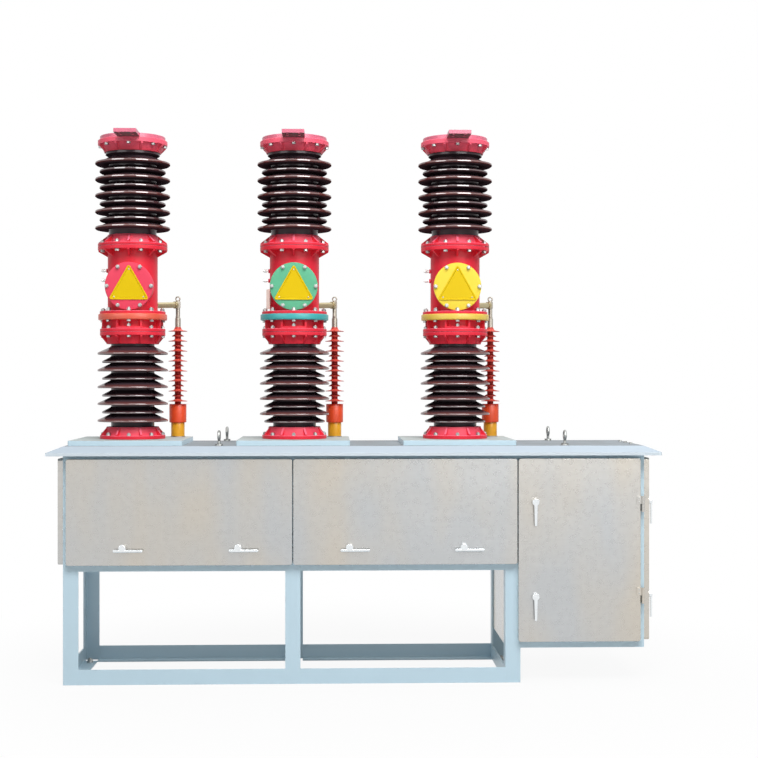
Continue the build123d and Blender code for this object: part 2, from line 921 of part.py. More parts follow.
clamp_z = arm_z + arm_rise - arm_clamp_height / 2
with BuildPart() as side_insulator_heads:
    for x in pole_xs:
        bottom = post_top_z
        for rod_r, rod_top in rod_steps:
            with BuildSketch(Plane(origin=(x + post_x, post_y, bottom))):
                Circle(rod_r)
            extrude(amount=rod_top - bottom)
            bottom = rod_top
        arm_start = Vector(x, 0, arm_z) + arm_way * arm_boss_reach
        with BuildSketch(Plane(origin=arm_start, z_dir=arm_way)):
            Circle(arm_r)
        extrude(amount=arm_length - arm_boss_reach)
        collar_start = Vector(x, 0, arm_z) + arm_way * (arm_length - arm_clamp_r - arm_collar_wall)
        with BuildSketch(Plane(origin=collar_start, z_dir=arm_way)):
            Circle(arm_collar_r)
        extrude(amount=arm_collar_wall)
        with BuildSketch(Plane(origin=(x + post_x, post_y, clamp_z))):
            Circle(arm_clamp_r)
        extrude(amount=arm_clamp_height)
        ring_z = clamp_z + arm_clamp_height + post_eye_r
        eye_ring((x + post_x, post_y, ring_z), (0, 1, 0), post_eye_r, post_eye_wire_r)
finish(side_insulator_heads, "side_insulator_heads")
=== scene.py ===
"""Outdoor vacuum circuit breaker: finishes, glazed sheds, fasteners, plates and stage round its CAD frame."""

import json
import math

import bmesh
import bpy
from mathutils import Matrix, Vector


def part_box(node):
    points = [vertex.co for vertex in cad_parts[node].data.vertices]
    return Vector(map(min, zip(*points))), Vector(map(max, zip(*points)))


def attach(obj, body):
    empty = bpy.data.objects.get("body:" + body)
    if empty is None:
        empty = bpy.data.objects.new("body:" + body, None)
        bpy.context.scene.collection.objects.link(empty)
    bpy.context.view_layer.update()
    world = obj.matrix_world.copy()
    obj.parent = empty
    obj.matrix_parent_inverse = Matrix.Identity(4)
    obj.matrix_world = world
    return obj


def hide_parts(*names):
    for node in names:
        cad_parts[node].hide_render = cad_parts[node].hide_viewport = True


bl_info = {
    "name": "Outdoor Vacuum Breaker",
    "version": (1, 0, 0),
    "blender": (4, 5, 0),
    "location": "3D View > Sidebar > Breaker",
    "description": "Dresses the frame of a three-pole outdoor vacuum circuit breaker and stages it",
    "category": "Add Mesh",
}

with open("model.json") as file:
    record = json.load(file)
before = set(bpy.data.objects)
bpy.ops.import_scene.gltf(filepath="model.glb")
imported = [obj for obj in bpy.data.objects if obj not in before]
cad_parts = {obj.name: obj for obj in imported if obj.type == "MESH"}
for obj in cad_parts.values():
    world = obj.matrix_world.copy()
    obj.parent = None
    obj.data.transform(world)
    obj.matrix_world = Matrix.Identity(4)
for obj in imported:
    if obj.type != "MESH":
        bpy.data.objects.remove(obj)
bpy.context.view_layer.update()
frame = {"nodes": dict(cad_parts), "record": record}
MM = 0.001
BODY = "frame"
POLES = (1, 2, 3)
SMOOTH_BELOW = math.radians(38)
FLANGE_BOLTS = 8
BOLT_STEP = math.tau / FLANGE_BOLTS
FRONT_ANGLE = -math.pi / 2
UP, DOWN, FRONT, RIGHT = (0, 0, 1), (0, 0, -1), (0, -1, 0), (1, 0, 0)


def middle_of(node):
    """Return the centre of a CAD node's box."""
    low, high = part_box(node)
    return (Vector(low) + Vector(high)) / 2


POLE_AXES = [middle_of(f"lower_insulator_{pole}") for pole in POLES]
POLE_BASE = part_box("fittings_1")[0][2]
TANK_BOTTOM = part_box("tank_1")[0][2]
TANK_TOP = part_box("tank_1")[1][2]
POLE_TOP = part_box("fittings_1")[1][2]
RING_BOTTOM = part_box("phase_rings")[0][2]
RING_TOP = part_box("phase_rings")[1][2]
RING_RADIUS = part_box("phase_rings")[1][0] - POLE_AXES[-1].x
COVER_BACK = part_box("tank_covers")[1][1]
COVER_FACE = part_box("tank_covers")[0][1]
COVER_HEIGHT = middle_of("tank_covers").z
COVER_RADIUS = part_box("tank_covers")[1][0] - POLE_AXES[-1].x
ROOF_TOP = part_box("plinth_plates")[0][2]


def linear(hex_colour):
    """Turn an sRGB hex colour into linear red, green and blue."""
    parts = [int(hex_colour[i : i + 2], 16) / 255 for i in (1, 3, 5)]
    return tuple(c / 12.92 if c <= 0.04045 else ((c + 0.055) / 1.055) ** 2.4 for c in parts)


def colour_setting(name, hex_colour, description):
    """Describe a colour that a user may change."""
    return bpy.props.FloatVectorProperty(
        name=name, subtype="COLOR", size=3, min=0, max=1, default=linear(hex_colour), description=description
    )


def length_setting(name, size_mm, description):
    """Describe a length that a user may change, given in millimetres."""
    return bpy.props.FloatProperty(
        name=name, subtype="DISTANCE", unit="LENGTH", default=size_mm * MM, description=description
    )


def angle_setting(name, degrees, description):
    """Describe an angle that a user may change, given in degrees."""
    return bpy.props.FloatProperty(
        name=name, subtype="ANGLE", default=math.radians(degrees), description=description
    )


def number_setting(name, value, least, description):
    """Describe a plain number that a user may change, with the least that makes sense."""
    return bpy.props.FloatProperty(name=name, default=value, min=least, description=description)


class BreakerColours(bpy.types.PropertyGroup):
    """Colours of the paints, glazes, resins and platings."""

    frame_blue: colour_setting("Frame", "#C2DBE8", "Pale blue-grey enamel of the stand")
    roof_blue: colour_setting("Roof", "#B9C6D1", "Paler enamel of the roof sheet")
    # Lip, plinth faces and the greys on top: lighter upright faces are painted light, the roof's grey top is
    # painted shade
    roof_lip_lit: colour_setting("Roof lip, lit", "#D3DEE6", "Enamel of the upright lip, which rain keeps clean")
    roof_top_shade: colour_setting("Roof top shade", "#999FA3", "Grey painted on top of the roof: painted shade")
    plinth_face_lit: colour_setting("Plinth face, lit", "#CDE6F2", "Enamel of the upright faces of the plinths")
    plinth_top_grey: colour_setting("Plinth top grey", "#B4BCBA", "Thinner grey on top of the plinths")
    casting_red: colour_setting("Castings", "#F03346", "Crimson enamel of the cast fittings and tanks")
    # A paler pink painted where the castings face up and round the top fittings: painted sky reflection
    painted_sheen_red: colour_setting("Castings, painted sheen", "#FF7690", "The same enamel where it has chalked")
    cap_red: colour_setting("Caps", "#DC6F89", "Faded crimson of the top covers")
    glaze: colour_setting("Glaze", "#403238", "Almost black glaze of the large insulators")
    glaze_rim: colour_setting("Glaze rim", "#703A35", "Red-brown glaze where it runs thin on the shed rims")
    sheds_red: colour_setting("Slim sheds", "#D04A3E", "Bleached silicone rubber of the slim sheds")
    # Core and roots are the same rubber as the sheds: a darker painted shade on the core, painted light on
    # the roots
    core_shaded_red: colour_setting("Slim core, shaded", "#C83A34", "Darker silicone rubber between the slim sheds")
    root_orange: colour_setting("Slim roots, lit", "#FF6A56", "Bright rubber at the roots of the large slim sheds")
    sleeve_orange: colour_setting("Sleeve", "#FF5728", "Orange sleeve under the slim insulators")
    foot_yellow: colour_setting("Foot", "#FCB62E", "Cast resin foot of the slim insulators")
    arm_tan: colour_setting("Arm", "#B9AE8C", "Yellow-passivated zinc of the side arms")
    ring_1: colour_setting("Ring 1", "#E8634A", "Orange ring of the first pole")
    ring_2: colour_setting("Ring 2", "#3FAEB0", "Teal ring of the second pole")
    ring_3: colour_setting("Ring 3", "#EACA54", "Yellow ring of the third pole")
    cover_1: colour_setting("Cover 1", "#EE4B64", "Round cover of the first pole, red as the castings")
    cover_2: colour_setting("Cover 2", "#67BC94", "Green cover of the second pole")
    cover_3: colour_setting("Cover 3", "#F6DB48", "Yellow cover of the third pole")
    plate_yellow: colour_setting("Plate", "#E4C209", "Yellow enamel of the plain triangular plates")
    stainless_warm: colour_setting("Stainless warm", "#C4BEB4", "Warm patches in the stainless sheets")
    stainless_cool: colour_setting("Stainless cool", "#BBBDBE", "Cool patches in the stainless sheets")


class BreakerSheds(bpy.types.PropertyGroup):
    """Sizes of the porcelain sheds. Radii, heights and pitches are those of the solids that they replace."""

    lower_core: length_setting("Lower core", 93, "Radius of the lower porcelain body")
    lower_large: length_setting("Lower large shed", 151, "Radius of the large lower sheds")
    lower_small: length_setting("Lower small shed", 132, "Radius of the small lower sheds")
    upper_core: length_setting("Upper core", 102, "Radius of the upper porcelain body")
    upper_neck: length_setting("Upper neck", 116, "Radius of the upper porcelain body at its top")
    upper_large: length_setting("Upper large shed", 161, "Radius of the large upper sheds")
    upper_small: length_setting("Upper small shed", 142, "Radius of the small upper sheds")
    wide_pitch: length_setting("Wide pitch", 36.25, "Distance from shed to shed at the first pole's foot")
    narrow_pitch: length_setting("Narrow pitch", 32.75, "The same at the other two poles")
    upper_pitch: length_setting("Upper pitch", 34.85, "The same in the upper insulators")
    wide_start: length_setting("Wide start", 68, "First shed above the end of the porcelain, first pole")
    narrow_start: length_setting("Narrow start", 64, "The same at the other two poles")
    upper_start: length_setting("Upper start", 66, "The same in the upper insulators")
    rim_rounding: length_setting("Rim rounding", 0.6, "Rounding of the edges of a rim")
    root_radius: length_setting("Root radius", 5, "Rounding under a shed where it meets the body")
    steps: bpy.props.IntProperty(name="Steps", default=120, min=24, description="Segments round a shed")


class BreakerPosts(bpy.types.PropertyGroup):
    """Sizes of the slim side insulators and their arms, as in the solids that they replace."""

    post_x: length_setting("Post X", 175, "How far a post stands to the right of its pole")
    post_y: length_setting("Post Y", 195, "How far a post stands behind its pole")
    foot: length_setting("Foot", 30, "Radius of the resin foot")
    foot_height: length_setting("Foot height", 64, "Height of the resin foot")
    washer: length_setting("Washer", 33, "Radius of the base washer")
    washer_wall: length_setting("Washer wall", 3, "Thickness of the base washer")
    sleeve: length_setting("Sleeve", 38, "Radius of the orange sleeve")
    core: length_setting("Core", 14, "Radius of the rubber between the sheds")
    large: length_setting("Large shed", 42, "Radius of the large slim sheds")
    small: length_setting("Small shed", 27, "Radius of the small slim sheds")
    first_shed: length_setting("First shed", 13, "Height of the first shed above the sleeve")
    pitch: length_setting("Pitch", 22.3, "Distance from shed to shed")
    shed_root: length_setting("Shed root", 9, "Height of a slim shed at the core")
    boot_low: length_setting("Boot foot", 17, "Radius of the rubber boot at its foot")
    boot_top: length_setting("Boot top", 13, "Radius of the rubber boot at its top")
    arm: length_setting("Arm", 13, "Radius of the side arm")
    arm_height: length_setting("Arm height", 1585, "Height at which an arm leaves the tank")
    arm_rise: length_setting("Arm rise", 14, "How much an arm rises to its post")
    arm_start: length_setting("Arm start", 128, "Where an arm leaves its boss, from the pole's axis")


class BreakerFasteners(bpy.types.PropertyGroup):
    """Sizes of the zinc-plated bolts."""

    across_flats: length_setting("Across flats", 17.5, "Hexagon of a full-size flange bolt")
    head_height: length_setting("Head height", 8.5, "Height of a bolt head")
    nut_height: length_setting("Nut height", 9.5, "Height of a nut")
    washer: length_setting("Washer", 10.5, "Radius of a washer")
    washer_wall: length_setting("Washer wall", 2, "Thickness of a washer")
    thread: length_setting("Thread", 5.5, "Radius of the bolt end")
    thread_out: length_setting("Bolt end", 3.5, "How far the bolt end stands out of its nut")


class BreakerPlates(bpy.types.PropertyGroup):
    """Sizes of the plain triangular plates on the round covers, and of the bare plate on the middle tank."""

    width: length_setting("Width", 173, "Width of a triangular plate along its lower edge")
    height: length_setting("Height", 153, "Height of a triangular plate")
    wall: length_setting("Wall", 1.5, "Thickness of a plate")
    rim: length_setting("Rim", 5, "Width of the raised rim")
    rim_rise: length_setting("Rim rise", 2.2, "How far the rim stands above the field")
    corner: length_setting("Corner", 15, "Length of edge that each rounded corner takes")
    low_edge: length_setting("Lower edge", 58, "Distance of the lower edge below the middle of the cover")
    bare_low: length_setting("Bare plate foot", 1571, "Height of the bare plate's lower edge")
    bare_high: length_setting("Bare plate head", 1656, "Height of the bare plate's upper edge")
    bare_width: length_setting("Bare plate width", 60, "Width of the bare plate")
    bare_out: length_setting("Bare plate distance", 117, "Distance of the bare plate from the pole's axis")
    bare_turn: angle_setting("Bare plate turn", 15, "Turn of the bare plate to the front")


class BreakerStage(bpy.types.PropertyGroup):
    """Camera and lights."""

    camera_x: length_setting("Camera X", -106, "Sideways place of the camera")
    camera_back: length_setting("Camera distance", 6517, "Distance of the camera in front of the pole line")
    camera_height: length_setting("Camera height", 1268, "Height of the camera above the ground")
    yaw: angle_setting("Yaw", -1.88, "Turn of the camera, to the right where it is below 0")
    lens: number_setting("Lens", 71.05, 10, "Focal length in millimetres on a 36 mm sensor")
    key_power: number_setting("Key", 405, 0, "Power of the high softbox in watts")
    top_power: number_setting("Top", 60, 0, "Power of the overhead softbox in watts")
    card_power: number_setting("Card", 230, 0, "Power of the right gloss card in watts")
    far_card_power: number_setting("Far card", 110, 0, "Power of the left gloss card in watts")
    ambient: number_setting("Ambient", 0.35, 0, "Level of the room light")


def add_node(tree, kind, inputs=None, **settings):
    """Add a node, set its properties, and give each input, by its identifier, a value or a feeding output."""
    node = tree.nodes.new(kind)
    for key, value in settings.items():
        setattr(node, key, value)
    sockets = {socket.identifier: socket for socket in node.inputs}
    for key, value in (inputs or {}).items():
        if isinstance(value, bpy.types.NodeSocket):
            tree.links.new(value, sockets[key])
        elif sockets[key].type == "RGBA":
            sockets[key].default_value = (*value, 1)
        else:
            sockets[key].default_value = value
    return next(socket for socket in node.outputs if socket.enabled) if node.outputs else node


def across(size_mm):
    """Return the texture scale whose features are about this many millimetres across."""
    return 1 / (size_mm * MM)


def shaded(colour, share):
    """Return a colour darkened to a share of itself."""
    return [c * share for c in colour]


def noise(tree, place, size_mm, detail):
    """Return cloudy noise whose features are about this many millimetres across."""
    inputs = {"Vector": place, "Scale": across(size_mm), "Detail": detail}
    return add_node(tree, "ShaderNodeTexNoise", inputs)


def stretched_noise(tree, place, sizes_mm, detail):
    """Return cloudy noise whose features have a size of their own along X, Y and Z."""
    inputs = {"Vector": place, "Scale": tuple(across(size) for size in sizes_mm)}
    stretched = add_node(tree, "ShaderNodeMapping", inputs)
    return add_node(tree, "ShaderNodeTexNoise", {"Vector": stretched, "Scale": 1.0, "Detail": detail})


def ranged(tree, value, low, high, start=0.0, end=1.0, **settings):
    """Map a value that runs from start to end onto the range from low to high."""
    inputs = {"Value": value, "From Min": start, "From Max": end, "To Min": low, "To Max": high}
    return add_node(tree, "ShaderNodeMapRange", inputs, **settings)


def blend(tree, share, first, second):
    """Mix two colours: the first at a share of 0, the second at 1."""
    inputs = {"Factor_Float": share, "A_Color": first, "B_Color": second}
    return add_node(tree, "ShaderNodeMix", inputs, data_type="RGBA")


def computed(tree, operation, first, second, use_clamp=False):
    """Work out one value from two."""
    inputs = {"Value": first, "Value_001": second}
    return add_node(tree, "ShaderNodeMath", inputs, operation=operation, use_clamp=use_clamp)


def soft_edges(tree, radius_mm):
    """Return normals that round the edges of a solid by this radius."""
    return add_node(tree, "ShaderNodeBevel", {"Radius": radius_mm * MM}, samples=6)


def relief(tree, height, strength, depth_mm, normals=None):
    """Return normals with a relief of this depth, laid over other normals where they are given."""
    inputs = {"Height": height, "Strength": strength, "Distance": depth_mm * MM}
    if normals is not None:
        inputs["Normal"] = normals
    return add_node(tree, "ShaderNodeBump", inputs)


def split(tree, vector, axis):
    """Return one of the three parts of a vector."""
    return add_node(tree, "ShaderNodeSeparateXYZ", {"Vector": vector}).node.outputs[axis]


def facing_up(tree):
    """Return how far a surface faces up: 1 on top, 0 on an upright face and -1 below."""
    return split(tree, add_node(tree, "ShaderNodeNewGeometry").node.outputs["Normal"], "Z")


def new_material(name):
    """Start a material without nodes and return it, its node tree and its Object coordinates."""
    material = bpy.data.materials.new(name)
    material.use_nodes = True
    tree = material.node_tree
    tree.nodes.clear()
    place = add_node(tree, "ShaderNodeTexCoord").node.outputs["Object"]
    return material, tree, place


def finish_material(material, shader):
    """Join the shader to the material's output."""
    add_node(material.node_tree, "ShaderNodeOutputMaterial", {"Surface": shader})
    return material


def finish_surface(material, inputs):
    """Finish a material with one shader, given what feeds it."""
    return finish_material(material, add_node(material.node_tree, "ShaderNodeBsdfPrincipled", inputs))


def enamel(name, colour, roughness, shade, coat, specular=0.5, painted_sheen=None):
    """Sprayed and stoved enamel on steel or iron.

    The colour shifts a little over a hand's width, and orange peel about 4 mm across breaks the gloss. Where
    a
    painted sheen colour is given, a paler pink is painted on faces that look up and all round the top
    fittings:
    a painted reflection of the bright sky.
    """
    material, tree, place = new_material(name)
    clouds = noise(tree, place, 160, 3.0)
    tone = blend(tree, clouds, shaded(colour, shade), colour)
    # Painted sky reflection: faces that look up, and the band round the top fittings, turn to the paler pink
    if painted_sheen:
        steep, level = 0.05, 0.75
        top_low, top_high, top_share = POLE_TOP - 67 * MM, POLE_TOP - 27 * MM, 0.6
        upper = ranged(tree, facing_up(tree), 0.0, 1.0, steep, level)
        topmost = ranged(tree, split(tree, place, "Z"), 0.0, top_share, top_low, top_high)
        tone = blend(tree, computed(tree, "MAXIMUM", upper, topmost), tone, painted_sheen)
    peel = noise(tree, place, 4, 1.0)
    return finish_surface(
        material,
        {
            "Base Color": tone,
            "Roughness": ranged(tree, clouds, roughness - 0.05, roughness + 0.07),
            "Normal": relief(tree, peel, 0.12, 0.4, soft_edges(tree, 1.5)),
            "Specular IOR Level": specular,
            "Coat Weight": coat,
            "Coat Roughness": 0.1,
        },
    )


def enamel_toned_by_facing(name, colour, upright, dust, roughness, specular):
    """Enamel of roof and plinths, toned by facing: a patchy grey on what faces up, painted shade on the roof,
    and a lighter tone on upright faces, painted light.
    """
    material, tree, place = new_material(name)
    upward = facing_up(tree)
    sloping, level = 0.95, 0.99
    # Faces that look up take a patchy grey: painted shade on the roof top, a plain grey on the plinth tops
    film = ranged(tree, upward, 0.0, 1.0, sloping, level)
    patchy = ranged(tree, noise(tree, place, 110, 5.0), 0.55, 1.35)
    amount = computed(tree, "MULTIPLY", film, patchy, use_clamp=True)
    # Upright faces take a lighter tone of their own: painted light
    sheet = blend(tree, computed(tree, "LESS_THAN", upward, 0.5), colour, upright)
    return finish_surface(
        material,
        {
            "Base Color": blend(tree, amount, sheet, dust),
            "Roughness": ranged(tree, amount, roughness, roughness + 0.3),
            "Specular IOR Level": specular,
            "Normal": soft_edges(tree, 1.2),
        },
    )


def rolled_stainless(name, warm, cool):
    """Cold-rolled stainless sheet with a dull mill finish.

    Warm and cool bands a few hands wide, faint rolling lines, and a slight wave in the surface. The real
    lines are finer than 0.2 mm; they are drawn 3 mm apart so that they show.
    """
    material, tree, place = new_material(name)
    clouds = stretched_noise(tree, place, (330, 330, 900), 2.0)
    mottle = noise(tree, place, 24, 4.0)
    grain = stretched_noise(tree, place, (160, 160, 3), 2.0)
    tint = blend(tree, ranged(tree, clouds, 0.0, 1.0, 0.38, 0.62), warm, cool)
    lift = ranged(tree, mottle, 0.95, 1.04)
    lines = ranged(tree, grain, 0.96, 1.04)
    value = computed(tree, "MULTIPLY", lift, lines)
    wave = relief(tree, noise(tree, place, 260, 1.0), 0.5, 6)
    return finish_surface(
        material,
        {
            "Base Color": add_node(
                tree, "ShaderNodeVectorMath", {"Vector": tint, "Scale": value}, operation="SCALE"
            ),
            "Metallic": 1.0,
            "Roughness": ranged(tree, mottle, 0.24, 0.32),
            "Normal": relief(tree, grain, 0.1, 0.3, wave),
        },
    )


def bright_metal(name, colour, roughness, spread, grain_mm):
    """Plated steel: zinc or chromium, with a roughness that varies over the grain of the plating."""
    material, tree, place = new_material(name)
    grain = noise(tree, place, grain_mm, 3.0)
    return finish_surface(
        material,
        {
            "Base Color": blend(tree, grain, shaded(colour, 0.84), colour),
            "Metallic": 1.0,
            "Roughness": ranged(tree, grain, roughness, roughness + spread),
            "Normal": soft_edges(tree, 0.8),
        },
    )


def porcelain_glaze(name, glaze, rim, roughness, ior, specular):
    """Brown glaze on electrical porcelain: glassy and almost black, redder where it runs thin on a rim.

    The piece's attribute thin_glaze is 1 on the rims. Small dimples about 6 mm across come from the firing.
    """
    material, tree, place = new_material(name)
    thin = add_node(tree, "ShaderNodeAttribute", attribute_name="thin_glaze").node.outputs["Fac"]
    run = ranged(tree, noise(tree, place, 60, 3.0), 0.4, 1.15)
    share = computed(tree, "MULTIPLY", thin, run, use_clamp=True)
    return finish_surface(
        material,
        {
            "Base Color": blend(tree, share, glaze, rim),
            "Roughness": roughness,
            "IOR": ior,
            "Specular IOR Level": specular,
            "Normal": relief(tree, noise(tree, place, 6, 1.0), 0.06, 0.4),
        },
    )


def rubber(name, colour, roughness, specular):
    """Moulded silicone rubber or cast resin: dull, with a fine bloom that lightens it in patches."""
    material, tree, place = new_material(name)
    bloom = noise(tree, place, 22, 4.0)
    return finish_surface(
        material,
        {
            "Base Color": blend(tree, bloom, shaded(colour, 0.82), colour),
            "Roughness": roughness,
            "Specular IOR Level": specular,
            "Normal": relief(tree, noise(tree, place, 1.5, 1.0), 0.1, 0.2),
            "Subsurface Weight": 0.06,
            "Subsurface Scale": 2 * MM,
        },
    )


def cap_enamel(name, colour, metal, bare_from):
    """Enamel of a top cover, with the contact face under its terminal pad left as bare machined metal."""
    material, tree, place = new_material(name)
    under = computed(tree, "LESS_THAN", facing_up(tree), -0.5)
    forward = computed(tree, "LESS_THAN", split(tree, place, "Y"), bare_from)
    bare = computed(tree, "MULTIPLY", under, forward)
    faded = blend(tree, noise(tree, place, 50, 4.0), shaded(colour, 0.85), colour)
    return finish_surface(
        material,
        {
            "Base Color": blend(tree, bare, faded, metal),
            "Metallic": bare,
            "Roughness": ranged(tree, bare, 0.35, 0.45),
            "Normal": soft_edges(tree, 1.5),
        },
    )


def seen_directly(tree):
    """Return 1 where the camera looks straight, by gloss or through glass, and 0 for the light itself."""
    rays = add_node(tree, "ShaderNodeLightPath").node.outputs
    seen = computed(tree, "MAXIMUM", rays["Is Camera Ray"], rays["Is Glossy Ray"])
    return computed(tree, "MAXIMUM", seen, rays["Is Transmission Ray"])


def white_floor(name):
    """Matt floor that keeps a soft shadow near the stand and fades into the white background further out."""
    material, tree, place = new_material(name)
    shadow_to, white_from = 0.8, 2.4
    length = add_node(tree, "ShaderNodeVectorMath", {"Vector": place}, operation="LENGTH")
    reach = length.node.outputs["Value"]
    fade = ranged(tree, reach, 0.92, 1.0, shadow_to, white_from, interpolation_type="SMOOTHSTEP")
    share = computed(tree, "MULTIPLY", seen_directly(tree), fade)
    matt = add_node(tree, "ShaderNodeBsdfDiffuse", {"Color": (0.62, 0.62, 0.62)})
    glow = add_node(tree, "ShaderNodeEmission", {"Color": (1.0, 1.0, 1.0), "Strength": 1.0})
    shader = add_node(tree, "ShaderNodeMixShader", {"Fac": share, "Shader": matt, "Shader_001": glow})
    return finish_material(material, shader)


def place_piece(name, bm, materials, slot, stands_for=(), body=BODY):
    """Turn a finished mesh into a named piece on a body of the frame."""
    bmesh.ops.remove_doubles(bm, verts=bm.verts, dist=0.01 * MM)
    bmesh.ops.recalc_face_normals(bm, faces=bm.faces)
    for face in bm.faces:
        face.smooth = True
    mesh = bpy.data.meshes.new(name)
    bm.to_mesh(mesh)
    bm.free()
    mesh.set_sharp_from_angle(angle=SMOOTH_BELOW)
    for material in materials:
        mesh.materials.append(material)
    piece = bpy.data.objects.new(name, mesh)
    bpy.context.scene.collection.objects.link(piece)
    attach(piece, body)
    if stands_for:
        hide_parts(*stands_for)
    return piece


def dress(node, material):
    """Give a CAD node its finish, with its mesh as it is."""
    for slot in frame["nodes"][node].material_slots:
        slot.link = "OBJECT"
        slot.material = material


def spin_profile(bm, axis, profile, steps):
    """Spin an open outline of (radius, height) points about an upright axis."""
    verts = [bm.verts.new((axis.x + radius, axis.y, height)) for radius, height in profile]
    edges = [bm.edges.new(pair) for pair in zip(verts, verts[1:])]
    bmesh.ops.spin(
        bm,
        geom=verts + edges,
        cent=(axis.x, axis.y, 0),
        axis=UP,
        angle=math.tau,
        steps=steps,
        use_merge=True,
    )
    bmesh.ops.remove_doubles(bm, verts=bm.verts, dist=0.01 * MM)


def round_rings(bm, axis, rings, offset, segments):
    """Bevel the level circles of a spun form that lie at the (radius, height) pairs given."""
    near = 0.2 * MM
    picked = []
    for edge in bm.edges:
        a, b = (vert.co - Vector((axis.x, axis.y, 0)) for vert in edge.verts)
        if abs(a.z - b.z) > near:
            continue
        if any(abs(a.z - z) < near and abs(math.hypot(a.x, a.y) - r) < near for r, z in rings):
            picked.append(edge)
    bevel_edges(bm, picked, offset, segments)


def bevel_edges(bm, edges, offset, segments):
    """Bevel some edges of a mesh under construction."""
    bmesh.ops.bevel(
        bm, geom=edges, offset=offset, segments=segments, profile=0.5, affect="EDGES", material=-1
    )


def merge(bm, own):
    """Move what one bmesh holds into another."""
    mesh = bpy.data.meshes.new("merged")
    own.to_mesh(mesh)
    own.free()
    bm.from_mesh(mesh)
    bpy.data.meshes.remove(mesh)


def disc_outline(radius, low, high):
    """Return the outline of a plain disc, from its axis below to its axis above."""
    return [(0, low), (radius, low), (radius, high), (0, high)]


def ring_outline(inner, outer, low, high):
    """Return the closed outline of a flat ring, which ends where it starts."""
    return [(inner, low), (outer, low), (outer, high), (inner, high), (inner, low)]


def add_turned(bm, axis, profile, rings, offset, steps):
    """Add a turned body with some of its edges rounded, without touching what the bmesh holds already."""
    own = bmesh.new()
    spin_profile(own, axis, profile, steps)
    if rings:
        round_rings(own, axis, rings, offset, 3)
    merge(bm, own)


def add_rod(bm, start, end, radius, sides):
    """Add a plain rod between two points."""
    run = Vector(end) - Vector(start)
    bmesh.ops.create_cone(
        bm,
        cap_ends=True,
        segments=sides,
        radius1=radius,
        radius2=radius,
        depth=run.length,
        matrix=seat_on((Vector(start) + Vector(end)) / 2, run),
    )


def add_ring(bm, centre, axle, ring_r, wire_r):
    """Add a ring of round wire about an axle."""
    own = bmesh.new()
    bmesh.ops.create_circle(
        own,
        segments=12,
        radius=wire_r,
        matrix=Matrix.Translation((ring_r, 0, 0)) @ Matrix.Rotation(math.pi / 2, 4, "X"),
    )
    bmesh.ops.spin(
        own,
        geom=own.verts[:] + own.edges[:],
        cent=(0, 0, 0),
        axis=UP,
        angle=math.tau,
        steps=32,
        use_merge=True,
    )
    bmesh.ops.transform(own, matrix=seat_on(centre, axle), verts=own.verts)
    merge(bm, own)


def add_dome(bm, seat, radius):
    """Add a small ball, which the matrix of its seat flattens to a low dome."""
    bmesh.ops.create_uvsphere(bm, u_segments=16, v_segments=8, radius=radius, matrix=seat)


def seat_on(point, direction, turn=0.0, scale=1.0):
    """Return the matrix that stands a template on a point, along a direction."""
    aim = Vector(direction).to_track_quat("Z", "Y").to_matrix().to_4x4()
    return Matrix.Translation(point) @ aim @ Matrix.Rotation(turn, 4, "Z") @ Matrix.Scale(scale, 4)


def upright_front(point):
    """Return the matrix that stands a flat drawing upright at a point, its face to the front."""
    return Matrix.Translation(point) @ Matrix.Rotation(math.pi / 2, 4, "X")


def paint_faces(bm, axis, index, test):
    """Give a finish, by its index, to the faces whose middle, as radius and height, passes a test."""
    for face in bm.faces:
        middle = face.calc_center_median()
        if test(math.hypot(middle.x - axis.x, middle.y - axis.y), middle.z):
            face.material_index = index


def shed_rows(first, pitch, count, kinds):
    """Return the sheds from the bottom up: a height, followed by one of two kinds in turn."""
    return [(first + i * pitch, *kinds[i % 2]) for i in range(count)]


def shed_outline(bottom, top, core, top_core, nose, pitch, sheds):
    """Return the outline of a shedded insulator, its rim points and its root points.

    Each shed is a height, a reach and a rise as a share of the pitch. The nose lists how far its points lie
    inwards from the reach and above the shed's height. The upper face runs in a shallow hollow to the body,
    which widens to its collar above the last shed.
    """
    under_slope = 0.04
    hollow = ((0.38, 0.39), (0.72, 0.68), (0.92, 0.87), (1.0, 1.0))
    collar_rise = 9 * MM
    outline, rims, roots = [(0, bottom), (core, bottom)], [], []
    for height, reach, rise in sheds:
        depth = reach - core
        edge = [(reach - inward, height + up) for inward, up in nose]
        root = (core, edge[0][1] + under_slope * depth)
        slope = [(reach - inward * depth, height + up * rise * pitch) for inward, up in hollow]
        outline += [root, *edge, *slope]
        rims += edge
        roots.append(root)
    collar = outline[-1][1] + collar_rise
    return outline + [(top_core, collar), (top_core, top), (0, top)], rims, roots


def mark_thin_glaze(mesh, axis, sheds, large):
    """Store where the glaze runs thin: 1 on the rims of the large sheds, less on the small, 0 elsewhere."""
    rim_depth, half_rim, small_share = 5 * MM, 8 * MM, 0.35
    attribute = mesh.attributes.new("thin_glaze", "FLOAT", "POINT")
    values = []
    for vert in mesh.vertices:
        radius = math.hypot(vert.co.x - axis.x, vert.co.y - axis.y)
        share = 0.0
        for height, reach, _ in sheds:
            if radius > reach - rim_depth and abs(vert.co.z - height) < half_rim:
                share = 1.0 if reach == large else small_share
        values.append(share)
    attribute.data.foreach_set("value", values)


